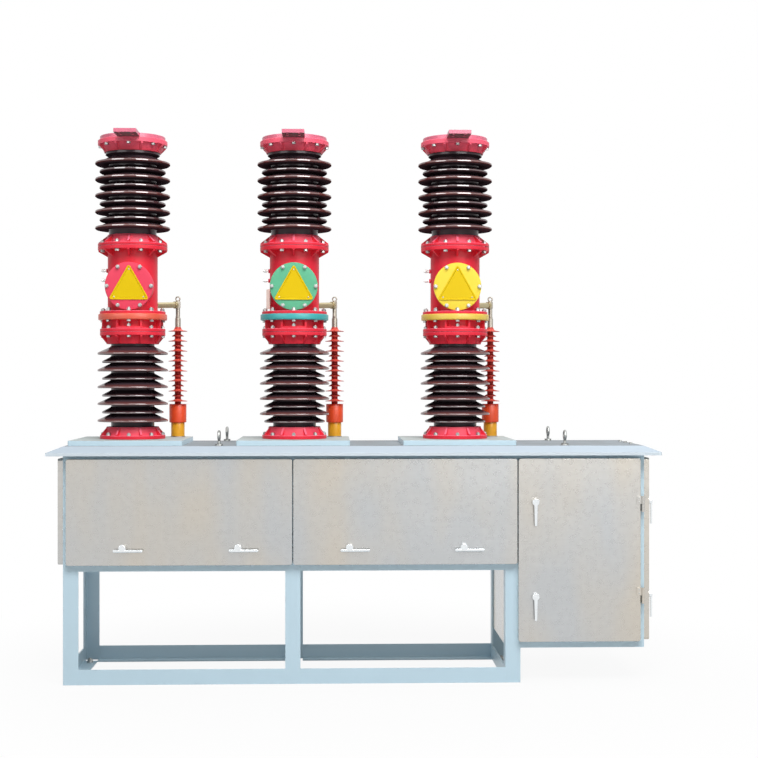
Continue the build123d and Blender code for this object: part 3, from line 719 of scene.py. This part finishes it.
def add_porcelain(name, node, core, top_core, nose, bright_band, pitch, sheds, materials):
    """Build one shedded insulator in the place of its plain solid.

    The first finish is for the body, the second for a bright band along the rims, between two heights, and
    the third for the undersides.
    """
    sizes = bpy.context.scene.breaker_sheds
    band_depth, looks_down = 1.3 * MM, -0.3
    axis = middle_of(node)
    low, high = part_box(node)
    outline, rims, roots = shed_outline(low[2], high[2], core, top_core, nose, pitch, sheds)
    bm = bmesh.new()
    spin_profile(bm, axis, outline, sizes.steps)
    round_rings(bm, axis, rims, sizes.rim_rounding, 2)
    round_rings(bm, axis, roots, sizes.root_radius, 3)
    bmesh.ops.recalc_face_normals(bm, faces=bm.faces)
    for face in bm.faces:
        middle = face.calc_center_median()
        radius = math.hypot(middle.x - axis.x, middle.y - axis.y)
        if face.normal.z < looks_down:
            face.material_index = 2
        for height, reach, _ in sheds:
            if bright_band[0] < middle.z - height < bright_band[1] and radius > reach - band_depth:
                face.material_index = 1
    piece = place_piece(name, bm, materials, "brown_glaze", (node,))
    mark_thin_glaze(piece.data, axis, sheds, max(reach for _, reach, _ in sheds))
    return piece


def hex_template(sizes, height, with_end):
    """Return a mesh of a washer and a chamfered hexagon, and a bolt end if asked, pointing along +Z."""
    bm = bmesh.new()
    chamfer = 1.2 * MM
    wall = sizes.washer_wall
    top = wall + height
    stack = [(sizes.washer, 0, wall, 16), (sizes.across_flats / math.sqrt(3), wall, top, 6)]
    if with_end:
        stack.append((sizes.thread, top, top + sizes.thread_out, 12))
    for radius, low, high, sides in stack:
        add_rod(bm, (0, 0, low), (0, 0, high), radius, sides)
    corners = [
        edge
        for edge in bm.edges
        if all(abs(v.co.z - top) < 0.01 * MM and v.co.xy.length > 1.2 * sizes.thread for v in edge.verts)
    ]
    bevel_edges(bm, corners, chamfer, 1)
    mesh = bpy.data.meshes.new("fastener_template")
    bm.to_mesh(mesh)
    bm.free()
    return mesh


def add_copy(bm, template, seat):
    """Add a copy of a template mesh to a bmesh, moved to a seat."""
    first = len(bm.verts)
    bm.from_mesh(template)
    bm.verts.ensure_lookup_table()
    bmesh.ops.transform(bm, matrix=seat, verts=bm.verts[first:])


class BREAKER_OT_stage(bpy.types.Operator):
    """Set the camera, the floor, the lights and the background"""

    bl_idname = "breaker.stage"
    bl_label = "Stage"

    def execute(self, context):
        scene = context.scene
        sizes = scene.breaker_stage
        camera = bpy.data.cameras.new("photo_camera")
        sensor_mm, far_end, floor_radius = 36, 200, 60
        camera.sensor_width = sensor_mm
        camera.lens = sizes.lens
        camera.clip_end = far_end
        eye = bpy.data.objects.new("photo_camera", camera)
        eye.location = (sizes.camera_x, -sizes.camera_back, sizes.camera_height)
        eye.rotation_euler = (math.pi / 2, 0, sizes.yaw)
        scene.collection.objects.link(eye)
        scene.camera = eye
        bm = bmesh.new()
        bmesh.ops.create_circle(bm, cap_ends=True, segments=96, radius=floor_radius)
        mesh = bpy.data.meshes.new("studio_floor")
        bm.to_mesh(mesh)
        bm.free()
        mesh.materials.append(white_floor("pale_floor"))
        floor = bpy.data.objects.new("studio_floor", mesh)
        scene.collection.objects.link(floor)
        # Turn, distance, height and size of each, its power, and whether it lights matt surfaces
        softboxes = (
            ("key_softbox", 12, 3.9, 5.9, (4.8, 3.0), sizes.key_power, True),
            ("top_softbox", 170, 1.6, 5.0, (5.0, 3.0), sizes.top_power, True),
            ("right_gloss_card", 28, 5.2, 3.1, (3.8, 2.4), sizes.card_power, False),
            ("left_gloss_card", -47, 5.2, 3.1, (3.2, 2.4), sizes.far_card_power, False),
        )
        for softbox in softboxes:
            self.add_softbox(*softbox)
        self.add_room(scene, sizes.ambient)
        scene.view_settings.view_transform = "Standard"
        return {"FINISHED"}

    def add_softbox(self, name, turn, distance, height, size, power, lights_matt):
        """Stand a softbox round the breaker, turned in degrees from the front to the right, aimed at it.

        A gloss card doesn't light matt surfaces: it shows in glazes and metals alone.
        """
        lamp = bpy.data.lights.new(name, "AREA")
        lamp.shape = "RECTANGLE"
        lamp.size, lamp.size_y = size
        lamp.energy = power
        box = bpy.data.objects.new(name, lamp)
        box.visible_diffuse = lights_matt
        turn = math.radians(turn)
        aim_height = 1.4
        place = Vector((distance * math.sin(turn), -distance * math.cos(turn), height))
        target = Vector((0, 0, aim_height))
        box.location = place
        box.rotation_euler = (target - place).to_track_quat("-Z", "Y").to_euler()
        bpy.context.scene.collection.objects.link(box)

    def add_room(self, scene, ambient):
        """Light the object from all round, and show white to the camera, to gloss and through glass."""
        world = bpy.data.worlds.new("white_room")
        world.use_nodes = True
        tree = world.node_tree
        tree.nodes.clear()
        light = add_node(tree, "ShaderNodeBackground", {"Color": (1.0, 1.0, 1.0), "Strength": ambient})
        white = add_node(tree, "ShaderNodeBackground", {"Color": (1.0, 1.0, 1.0), "Strength": 1.0})
        mix = add_node(
            tree, "ShaderNodeMixShader", {"Fac": seen_directly(tree), "Shader": light, "Shader_001": white}
        )
        add_node(tree, "ShaderNodeOutputWorld", {"Surface": mix})
        scene.world = world


class BREAKER_OT_finishes(bpy.types.Operator):
    """Give the CAD nodes that stay in view their finishes"""

    bl_idname = "breaker.finishes"
    bl_label = "Finishes"

    def execute(self, context):
        paints = context.scene.breaker_colours
        contact_from = -145 * MM
        stand = enamel("pale_blue_stand_enamel", paints.frame_blue, roughness=0.4, shade=0.95, coat=0.05)
        # Roof: grey top as painted shade, lighter lip as painted light; plinths: lighter upright faces as
        # painted light
        roof = enamel_toned_by_facing(
            "pale_roof_enamel",
            paints.roof_blue,
            paints.roof_lip_lit,
            paints.roof_top_shade,
            roughness=0.36,
            specular=0.0,
        )
        plinths = enamel_toned_by_facing(
            "dusty_plinth_enamel",
            paints.frame_blue,
            paints.plinth_face_lit,
            paints.plinth_top_grey,
            roughness=0.4,
            specular=0.25,
        )
        castings = enamel(
            "crimson_casting_enamel",
            paints.casting_red,
            roughness=0.4,
            shade=0.82,
            coat=0.0,
            specular=0.14,
            painted_sheen=paints.painted_sheen_red,
        )
        caps = cap_enamel("faded_cap_enamel", paints.cap_red, linear("#8D8A88"), contact_from)
        steel = rolled_stainless("rolled_stainless_sheet", paints.stainless_warm, paints.stainless_cool)
        chrome = bright_metal(
            "polished_chromium_plating", linear("#F3F7F9"), roughness=0.1, spread=0.1, grain_mm=8
        )
        zinc = bright_metal("bright_zinc_plating", linear("#DADCDA"), roughness=0.28, spread=0.18, grain_mm=5)
        groups = {
            stand: (
                "legs",
                "base_rails",
                "shelf_rails",
                "top_rails",
                "cross_rails",
                "cabinet_posts",
                "cabinet_sills",
            ),
            steel: (
                "enclosure_floor",
                "cabinet_wall",
                "cabinet_floor",
                "front_covers",
                "rear_covers",
                "end_cover",
                "front_door",
                "side_door",
                "front_door_knuckles",
                "side_door_knuckles",
                "hinge_brackets",
            ),
            zinc: ("side_plugs",),
            roof: ("roof",),
            plinths: ("plinth_plates",),
            caps: ("terminal_caps",),
            castings: [f"{kind}_{pole}" for kind in ("fittings", "tank") for pole in POLES],
            chrome: [node for node in frame["nodes"] if "_handle_" in node],
        }
        for material, nodes in groups.items():
            for node in nodes:
                dress(node, material)
        return {"FINISHED"}


class BREAKER_OT_porcelain(bpy.types.Operator):
    """Build the six glazed insulators with rounded sheds"""

    bl_idname = "breaker.porcelain"
    bl_label = "Porcelain"

    def execute(self, context):
        sizes = context.scene.breaker_sheds
        colours = context.scene.breaker_colours
        # Roughness, index of refraction and specular level of each finish
        looks = (("body", 0.2, 1.5, 0.2), ("rims", 0.06, 2.2, 0.5), ("undersides", 0.5, 1.5, 0.0))
        finishes = [
            porcelain_glaze(f"brown_glaze_{part}", colours.glaze, colours.glaze_rim, *look)
            for part, *look in looks
        ]
        large_rise, small_rise = 0.84, 0.62
        lower_kinds = ((sizes.lower_large, large_rise), (sizes.lower_small, small_rise))
        upper_kinds = ((sizes.upper_large, large_rise), (sizes.upper_small, small_rise))
        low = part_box("lower_insulator_1")[0][2]
        wide = shed_rows(low + sizes.wide_start, sizes.wide_pitch, 9, lower_kinds)
        narrow = shed_rows(low + sizes.narrow_start, sizes.narrow_pitch, 10, lower_kinds[::-1])
        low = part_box("upper_insulator_1")[0][2]
        upper = shed_rows(low + sizes.upper_start, sizes.upper_pitch, 9, upper_kinds)
        lower_nose = [(5, -6.4), (0, -5.2), (0.1, -0.4), (2.4, 2.6)]
        upper_nose = [(5.5, -5.6), (0.3, -1.2), (0, 0.4), (0.15, 5.6), (2.6, 7.0)]
        lower_nose, upper_nose = ([(a * MM, b * MM) for a, b in nose] for nose in (lower_nose, upper_nose))
        lower_band, upper_band = (-5.4 * MM, -0.1 * MM), (0.2 * MM, 6.0 * MM)
        above = (sizes.upper_core, sizes.upper_neck, upper_nose, upper_band, sizes.upper_pitch, upper)
        narrow_row = (sizes.narrow_pitch, narrow)
        for pole, (pitch, rows) in zip(POLES, ((sizes.wide_pitch, wide), narrow_row, narrow_row)):
            below = (sizes.lower_core, sizes.lower_core, lower_nose, lower_band, pitch, rows)
            add_porcelain(f"lower_porcelain_{pole}", f"lower_insulator_{pole}", *below, finishes)
            add_porcelain(f"upper_porcelain_{pole}", f"upper_insulator_{pole}", *above, finishes)
        return {"FINISHED"}


class BREAKER_OT_side_insulators(bpy.types.Operator):
    """Build the slim side insulators with their sleeves, feet, rods and arms"""

    bl_idname = "breaker.side_insulators"
    bl_label = "Side insulators"

    def execute(self, context):
        sizes = context.scene.breaker_posts
        colours = context.scene.breaker_colours
        # The core's darker red is painted shade between the sheds; the roots' bright orange is painted light
        # where the large sheds face the sky
        sheds = rubber("bleached_silicone_sheds", colours.sheds_red, roughness=0.42, specular=0.3)
        core = rubber("dark_silicone_core", colours.core_shaded_red, roughness=0.45, specular=0.12)
        roots = rubber("bright_silicone_roots", colours.root_orange, roughness=0.45, specular=0.15)
        sleeve = rubber("orange_cast_sleeve", colours.sleeve_orange, roughness=0.4, specular=0.5)
        resin = rubber("yellow_cast_resin", colours.foot_yellow, roughness=0.34, specular=0.3)
        tan = bright_metal(
            "yellow_zinc_passivation", colours.arm_tan, roughness=0.32, spread=0.2, grain_mm=12
        )
        zinc = bright_metal("weathered_zinc_rods", linear("#A39D92"), roughness=0.42, spread=0.2, grain_mm=10)
        for pole, axis in zip(POLES, POLE_AXES):
            post = Vector((axis.x + sizes.post_x, sizes.post_y, 0))
            self.add_sheds(pole, post, sizes, [core, sheds, roots])
            self.add_foot(pole, post, sizes, resin, sleeve, zinc)
            self.add_rod_and_eye(pole, post, sizes, zinc)
            self.add_arm(pole, axis, post, sizes, tan)
        return {"FINISHED"}

    def add_sheds(self, pole, post, sizes, materials):
        """Spin the thin rubber sheds on their core, with the boot that grips the rod."""
        low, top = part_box("side_insulators")[0][2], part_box("side_insulators")[1][2]
        count, half_rim, root_run, root_share = 15, 1.2 * MM, 7 * MM, 0.55
        rounding, skin, lit_root_low = 1.0 * MM, 0.4 * MM, 2 * MM
        kinds = ((sizes.large,), (sizes.small,))
        outline, rims, large_levels = [(0, low), (sizes.core, low)], [], []
        for height, reach in shed_rows(low + sizes.first_shed, sizes.pitch, count, kinds):
            points = [
                (sizes.core, height),
                (reach, height - half_rim),
                (reach, height + half_rim),
                (sizes.core + root_run, height + root_share * sizes.shed_root),
                (sizes.core, height + sizes.shed_root),
            ]
            outline += points
            rims += points[1:3]
            if reach == sizes.large:
                large_levels.append(height)
        outline[-1] = (sizes.boot_low, outline[-1][1])
        outline += [(sizes.boot_top, top), (0, top)]
        bm = bmesh.new()
        spin_profile(bm, post, outline, 48)
        round_rings(bm, post, rims, rounding, 2)
        # Index 0, the core, carries painted shade; index 1 is the sheds; index 2 is painted light on the
        # roots of the large sheds
        paint_faces(bm, post, 1, lambda radius, height: radius > sizes.core + skin)
        paint_faces(
            bm,
            post,
            2,
            lambda radius, height: sizes.core - skin < radius < sizes.core + root_run
            and any(lit_root_low < height - level < sizes.shed_root for level in large_levels),
        )
        place_piece(f"slim_sheds_{pole}", bm, materials, "silicone_rubber", ("side_insulators",))

    def add_foot(self, pole, post, sizes, resin, sleeve_resin, zinc):
        """Turn the base washer, the resin foot and the orange sleeve, each with its rounding in mm."""
        base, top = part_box("side_insulator_feet")[0][2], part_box("side_insulator_feet")[1][2]
        seat = base + sizes.washer_wall
        joint = base + sizes.foot_height
        parts = (
            (f"foot_washer_{pole}", sizes.washer, base, seat, 1, zinc, "zinc_steel"),
            (f"resin_foot_{pole}", sizes.foot, seat, joint, 1.5, resin, "foot_resin"),
            (f"orange_sleeve_{pole}", sizes.sleeve, joint, top, 3.5, sleeve_resin, "foot_resin"),
        )
        for name, radius, low, high, rounding, material, slot in parts:
            outline = disc_outline(radius, low, high)
            bm = bmesh.new()
            add_turned(bm, post, outline, outline[1:3], rounding * MM, 48)
            place_piece(name, bm, [material], slot, ("side_insulator_feet",))

    def add_rod_and_eye(self, pole, post, sizes, zinc):
        """Turn the stepped rod above the boot, with a lock nut, the arm clamp and the eye on top."""
        thick_rod, lock_nut, thin_rod, clamp_nut = 12.5 * MM, 11.5 * MM, 9.5 * MM, 13 * MM
        eye, eye_wire, clamp_end = 9 * MM, 3 * MM, 4 * MM
        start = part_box("side_insulators")[1][2]
        nut_low = start + 39 * MM
        nut_high = nut_low + 8 * MM
        clamp_low = sizes.arm_height + sizes.arm_rise - 18 * MM
        clamp_high = clamp_low + 36 * MM
        stack = (
            (start, nut_low, thick_rod, 32),
            (nut_low, nut_high, lock_nut, 6),
            (nut_high, clamp_low, thin_rod, 32),
            (clamp_low, clamp_high, thin_rod, 32),
            (clamp_low + clamp_end, clamp_high - clamp_end, clamp_nut, 6),
        )
        bm = bmesh.new()
        for low, high, radius, sides in stack:
            add_rod(bm, (post.x, post.y, low), (post.x, post.y, high), radius, sides)
        add_ring(bm, (post.x, post.y, clamp_high + eye), FRONT, eye, eye_wire)
        place_piece(f"post_rod_{pole}", bm, [zinc], "zinc_steel", ("side_insulator_heads",))

    def add_arm(self, pole, axis, post, sizes, tan):
        """Run the arm from its boss on the tank to the clamp on the post: a nut first, a collar last."""
        clamp, nut, nut_wall, collar, collar_wall = 9.5 * MM, 15 * MM, 9 * MM, 16 * MM, 12 * MM
        root = Vector((axis.x, axis.y, sizes.arm_height))
        run = Vector((post.x, post.y, sizes.arm_height + sizes.arm_rise)) - root
        way = run.normalized()
        start = root + way * sizes.arm_start
        end = root + way * (run.length - clamp)
        bm = bmesh.new()
        add_rod(bm, start, end, sizes.arm, 32)
        add_rod(bm, end - way * collar_wall, end, collar, 32)
        add_rod(bm, start, start + way * nut_wall, nut, 6)
        place_piece(f"side_arm_{pole}", bm, [tan], "zinc_steel", ("side_insulator_heads",))


class BREAKER_OT_phase_marks(bpy.types.Operator):
    """Build the coloured rings under the tanks and the round covers on their fronts"""

    bl_idname = "breaker.phase_marks"
    bl_label = "Phase rings and covers"

    def execute(self, context):
        colours = context.scene.breaker_colours
        neck, ring_rounding, cover_rounding = 116 * MM, 4 * MM, 2 * MM
        ring = ring_outline(neck, RING_RADIUS, RING_BOTTOM, RING_TOP)
        disc = disc_outline(COVER_RADIUS, 0, COVER_BACK - COVER_FACE)
        for pole, axis in zip(POLES, POLE_AXES):
            colour = getattr(colours, f"ring_{pole}")
            paint = enamel(
                f"ring_{pole}_enamel", colour, roughness=0.4, shade=0.88, coat=0.1, specular=0.35
            )
            bm = bmesh.new()
            add_turned(bm, axis, ring, ring[1:3], ring_rounding, 120)
            place_piece(f"phase_ring_{pole}", bm, [paint], "ring_paint", ("phase_rings",))
            colour = getattr(colours, f"cover_{pole}")
            paint = enamel(
                f"cover_{pole}_enamel", colour, roughness=0.42, shade=0.93, coat=0.0, specular=0.12
            )
            bm = bmesh.new()
            add_turned(bm, Vector(), disc, [disc[2]], cover_rounding, 120)
            bmesh.ops.transform(
                bm, matrix=upright_front((axis.x, COVER_BACK, COVER_HEIGHT)), verts=bm.verts
            )
            place_piece(f"round_cover_{pole}", bm, [paint], "cover_paint", ("tank_covers",))
        return {"FINISHED"}


class BREAKER_OT_plates(bpy.types.Operator):
    """Build the plain triangular plates on the round covers, and the bare plate beside the middle tank"""

    bl_idname = "breaker.plates"
    bl_label = "Plates"

    def execute(self, context):
        sizes = context.scene.breaker_plates
        yellow = context.scene.breaker_colours.plate_yellow
        paint = enamel(
            "yellow_plate_enamel", yellow, roughness=0.4, shade=0.96, coat=0.0, specular=0.1
        )
        for pole, axis in zip(POLES, POLE_AXES):
            self.add_triangle(pole, axis, sizes, paint)
        self.add_bare_plate(POLE_AXES[1], sizes)
        return {"FINISHED"}

    def add_triangle(self, pole, axis, sizes, paint):
        """Raise a flat triangle with rounded corners, and sink its field below the rim."""
        bm = bmesh.new()
        corners = ((-sizes.width / 2, 0, 0), (sizes.width / 2, 0, 0), (0, sizes.height, 0))
        flat = bm.faces.new([bm.verts.new(corner) for corner in corners])
        bmesh.ops.bevel(
            bm,
            geom=flat.verts[:],
            offset=sizes.corner,
            segments=6,
            profile=0.5,
            affect="VERTICES",
            material=-1,
        )
        lifted = bmesh.ops.extrude_face_region(bm, geom=bm.faces[:])["geom"]
        verts = [item for item in lifted if isinstance(item, bmesh.types.BMVert)]
        top = [item for item in lifted if isinstance(item, bmesh.types.BMFace)]
        bmesh.ops.translate(bm, verts=verts, vec=(0, 0, sizes.wall + sizes.rim_rise))
        bmesh.ops.inset_region(bm, faces=top, thickness=sizes.rim, use_even_offset=True)
        bmesh.ops.inset_region(
            bm, faces=top, thickness=sizes.rim_rise, depth=-sizes.rim_rise, use_even_offset=True
        )
        seat = upright_front((axis.x, COVER_FACE, COVER_HEIGHT - sizes.low_edge))
        bmesh.ops.transform(bm, matrix=seat, verts=bm.verts)
        place_piece(f"triangular_plate_{pole}", bm, [paint], "cover_paint")

    def add_bare_plate(self, axis, sizes):
        """Stand a thin bare plate on two short pins beside the tank, turned a little to the front."""
        aluminium = bright_metal(
            "brushed_aluminium_plate", linear("#EAD3C8"), roughness=0.42, spread=0.15, grain_mm=9
        )
        height = sizes.bare_high - sizes.bare_low
        tank_r, pin, corner = 104 * MM, 4 * MM, 4 * MM
        bm = bmesh.new()
        bmesh.ops.create_cube(
            bm,
            size=1,
            matrix=Matrix.Translation((sizes.bare_out, 0, height / 2))
            @ Matrix.Diagonal((2 * sizes.wall, sizes.bare_width, height, 1)),
        )
        corners = [edge for edge in bm.edges if abs(edge.verts[0].co.x - edge.verts[1].co.x) > sizes.wall]
        bevel_edges(bm, corners, corner, 4)
        for level in (0.2 * height, 0.8 * height):
            add_rod(bm, (tank_r, 0, level), (sizes.bare_out, 0, level), pin, 16)
        turn = Matrix.Rotation(math.pi + sizes.bare_turn, 4, "Z")
        bmesh.ops.transform(
            bm, matrix=Matrix.Translation((axis.x, axis.y, sizes.bare_low)) @ turn, verts=bm.verts
        )
        place_piece("bare_side_plate", bm, [aluminium], "zinc_steel")


class BREAKER_OT_fasteners(bpy.types.Operator):
    """Build the bolts, nuts, rivets, screws, gaskets and lifting eyes"""

    bl_idname = "breaker.fasteners"
    bl_label = "Fasteners"

    def execute(self, context):
        sizes = context.scene.breaker_fasteners
        zinc = bright_metal("dulled_zinc_bolts", linear("#A3A5A3"), roughness=0.34, spread=0.2, grain_mm=6)
        black = rubber("black_gasket_rubber", linear("#2A1516"), roughness=0.6, specular=0.3)
        head = hex_template(sizes, sizes.head_height, False)
        nut = hex_template(sizes, sizes.nut_height, True)
        for pole, axis in zip(POLES, POLE_AXES):
            bm = bmesh.new()
            self.add_flange_rows(bm, axis, head, nut)
            self.add_cover_row(bm, axis, nut)
            place_piece(f"flange_bolts_{pole}", bm, [zinc], "zinc_steel")
            self.add_rivets(pole, axis, context.scene.breaker_plates, zinc)
            self.add_gaskets(pole, axis, black)
        self.add_anchor_nuts(nut, zinc)
        self.add_roof_bolts(head, zinc)
        self.add_hinge_screws(zinc)
        self.add_lifting_eyes(zinc)
        bpy.data.meshes.remove(head)
        bpy.data.meshes.remove(nut)
        return {"FINISHED"}

    def add_flange_rows(self, bm, axis, head, nut):
        """Bolt every flange of a pole.

        Each row has its height, the way that it points, its radius in mm, first angle, form and scale. In the
        third row the first bolt stands on the raised pad of the flange.
        """
        padded_row, pad_rise = 2, 8 * MM
        rows = (
            (POLE_BASE + 16 * MM, UP, 129, 0.0, nut, 0.86),
            (TANK_BOTTOM - 16 * MM, DOWN, 129, 0.0, head, 0.86),
            (TANK_BOTTOM + 14 * MM, UP, 128.5, 0.0, nut, 0.86),
            (RING_BOTTOM, DOWN, 131, 0.0, head, 0.86),
            (RING_TOP + 12 * MM, UP, 127.5, 0.0, nut, 1.0),
            (TANK_TOP - 17 * MM, DOWN, 132, BOLT_STEP / 2, head, 0.95),
            (TANK_TOP + 12 * MM, UP, 133, BOLT_STEP / 2, nut, 0.86),
            (POLE_TOP - 20 * MM, DOWN, 139, 0.0, head, 0.86),
        )
        for row, (height, way, circle, start, template, scale) in enumerate(rows):
            for i in range(FLANGE_BOLTS):
                angle = FRONT_ANGLE + start + i * BOLT_STEP
                lift = pad_rise if row == padded_row and i == 0 else 0
                point = (
                    axis.x + circle * MM * math.cos(angle),
                    circle * MM * math.sin(angle),
                    height + lift,
                )
                add_copy(bm, template, seat_on(point, way, 0.7 * row + 1.9 * i, scale))

    def add_cover_row(self, bm, axis, nut):
        """Bolt a round cover with six nuts."""
        circle, count = 94 * MM, 6
        for i in range(count):
            angle = i * math.tau / count
            point = (axis.x + circle * math.cos(angle), COVER_FACE, COVER_HEIGHT + circle * math.sin(angle))
            add_copy(bm, nut, seat_on(point, FRONT, 1.3 * i, 0.8))

    def add_rivets(self, pole, axis, sizes, zinc):
        """Press a low rivet into each corner of a triangular plate."""
        inset, radius = 15 * MM, 3.2 * MM
        face = COVER_FACE - sizes.wall
        foot = COVER_HEIGHT - sizes.low_edge
        low = foot + 0.75 * inset
        side = sizes.width / 2 - 1.6 * inset
        high = foot + sizes.height - 1.6 * inset
        bm = bmesh.new()
        for x, z in ((-side, low), (side, low), (0, high)):
            flat = Matrix.Diagonal((1, 0.5, 1, 1))
            add_dome(bm, Matrix.Translation((axis.x + x, face, z)) @ flat, radius)
        place_piece(f"plate_rivets_{pole}", bm, [zinc], "zinc_steel")

    def add_gaskets(self, pole, axis, black):
        """Lay a thin dark gasket in the groove between each pair of flanges."""
        half, width = 1 * MM, 6 * MM
        narrow, wide = 139.2 * MM, 148.2 * MM
        bm = bmesh.new()
        for height, radius in ((TANK_BOTTOM, narrow), (TANK_TOP, wide), (POLE_TOP, narrow)):
            outline = ring_outline(radius - width, radius, height - half, height + half)
            add_turned(bm, axis, outline, (), 0, 96)
        place_piece(f"flange_gaskets_{pole}", bm, [black], "silicone_rubber")

    def add_anchor_nuts(self, nut, zinc):
        """Put a nut with its washer on each anchor hole, turned by an amount that its place gives."""
        anchors = next(m for m in frame["record"]["mounts"] if m["name"] == "floor_anchors")
        middle = anchors["pos_m"]
        half_x = anchors["dims"]["spacing_x_mm"] * MM / 2
        half_y = anchors["dims"]["spacing_y_mm"] * MM / 2
        rail_wall = 6 * MM
        bm = bmesh.new()
        for x in (-half_x, half_x):
            for y in (-half_y, half_y):
                point = (middle[0] + x, middle[1] + y, rail_wall)
                add_copy(bm, nut, seat_on(point, UP, 9 * x + 5 * y, 1.25))
        place_piece("anchor_nuts", bm, [zinc], "zinc_steel")

    def add_roof_bolts(self, head, zinc):
        """Set three small bolts along each end of the roof."""
        end_inset, spacing = 84 * MM, 119 * MM
        end_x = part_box("roof")[1][0] - end_inset
        bm = bmesh.new()
        for x in (-end_x, end_x):
            for y in (-spacing, 0, spacing):
                add_copy(bm, head, seat_on((x, y, ROOF_TOP), UP, 8 * x + 30 * y, 0.7))
        place_piece("roof_bolts", bm, [zinc], "zinc_steel")

    def add_hinge_screws(self, zinc):
        """Fix the leaf of each door hinge with two screws that ride on the door."""
        leaf_height, leaf_wall, inset, half_step, radius = 32.5 * MM, 4 * MM, 9 * MM, 8 * MM, 3.4 * MM
        flat = Matrix.Diagonal((1, 1, 0.5, 1))
        for door, outward in (("front_door", FRONT), ("side_door", RIGHT)):
            low, high = (Vector(corner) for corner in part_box(f"{door}_knuckles"))
            bm = bmesh.new()
            for level in (low.z + leaf_height / 2, high.z - leaf_height / 2):
                for step in (-half_step, half_step):
                    if outward == FRONT:
                        point = Vector((low.x + inset, high.y - leaf_wall, level + step))
                    else:
                        point = Vector((low.x + leaf_wall, low.y + inset, level + step))
                    add_dome(bm, seat_on(point, outward) @ flat, radius)
            place_piece(f"{door}_hinge_screws", bm, [zinc], "zinc_steel", body=door)

    def add_lifting_eyes(self, zinc):
        """Build the four eye bolts on the roof, each a collar, a shank and a ring."""
        low, high = (Vector(corner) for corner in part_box("lifting_eyes"))
        collar, collar_wall, wire, ring, shank = 15 * MM, 8 * MM, 6 * MM, 17 * MM, 27 * MM
        bm = bmesh.new()
        for x in (low.x + collar, high.x - collar):
            for y in (low.y + ring + wire, high.y - ring - wire):
                foot = Vector((x, y, low.z))
                profile = disc_outline(collar, low.z, low.z + collar_wall)
                add_turned(bm, foot, profile, [profile[2]], 2 * MM, 32)
                add_rod(bm, foot, foot + Vector((0, 0, shank)), wire, 20)
                add_ring(bm, (x, y, high.z - ring - wire), RIGHT, ring, wire)
        place_piece("lifting_eye_bolts", bm, [zinc], "zinc_steel", ("lifting_eyes",))


class BREAKER_PT_panel(bpy.types.Panel):
    """Panel that lists the steps in the order in which they run"""

    bl_idname = "BREAKER_PT_panel"
    bl_label = "Vacuum breaker"
    bl_space_type = "VIEW_3D"
    bl_region_type = "UI"
    bl_category = "Breaker"

    def draw(self, context):
        for step in STEPS:
            self.layout.operator(step.bl_idname)


STEPS = (
    BREAKER_OT_stage,
    BREAKER_OT_finishes,
    BREAKER_OT_porcelain,
    BREAKER_OT_side_insulators,
    BREAKER_OT_phase_marks,
    BREAKER_OT_plates,
    BREAKER_OT_fasteners,
)
SETTINGS = {
    "breaker_colours": BreakerColours,
    "breaker_sheds": BreakerSheds,
    "breaker_posts": BreakerPosts,
    "breaker_fasteners": BreakerFasteners,
    "breaker_plates": BreakerPlates,
    "breaker_stage": BreakerStage,
}


def register():
    """Register the settings, the steps and the panel."""
    for name, group in SETTINGS.items():
        bpy.utils.register_class(group)
        setattr(bpy.types.Scene, name, bpy.props.PointerProperty(type=group))
    for step in (*STEPS, BREAKER_PT_panel):
        bpy.utils.register_class(step)


def unregister():
    """Take back what register made."""
    for step in (BREAKER_PT_panel, *reversed(STEPS)):
        bpy.utils.unregister_class(step)
    for name, group in SETTINGS.items():
        delattr(bpy.types.Scene, name)
        bpy.utils.unregister_class(group)


def main():
    """Run every step."""
    register()
    for step in STEPS:
        family, name = step.bl_idname.split(".")
        getattr(getattr(bpy.ops, family), name)()


if __name__ == "__main__":
    main()
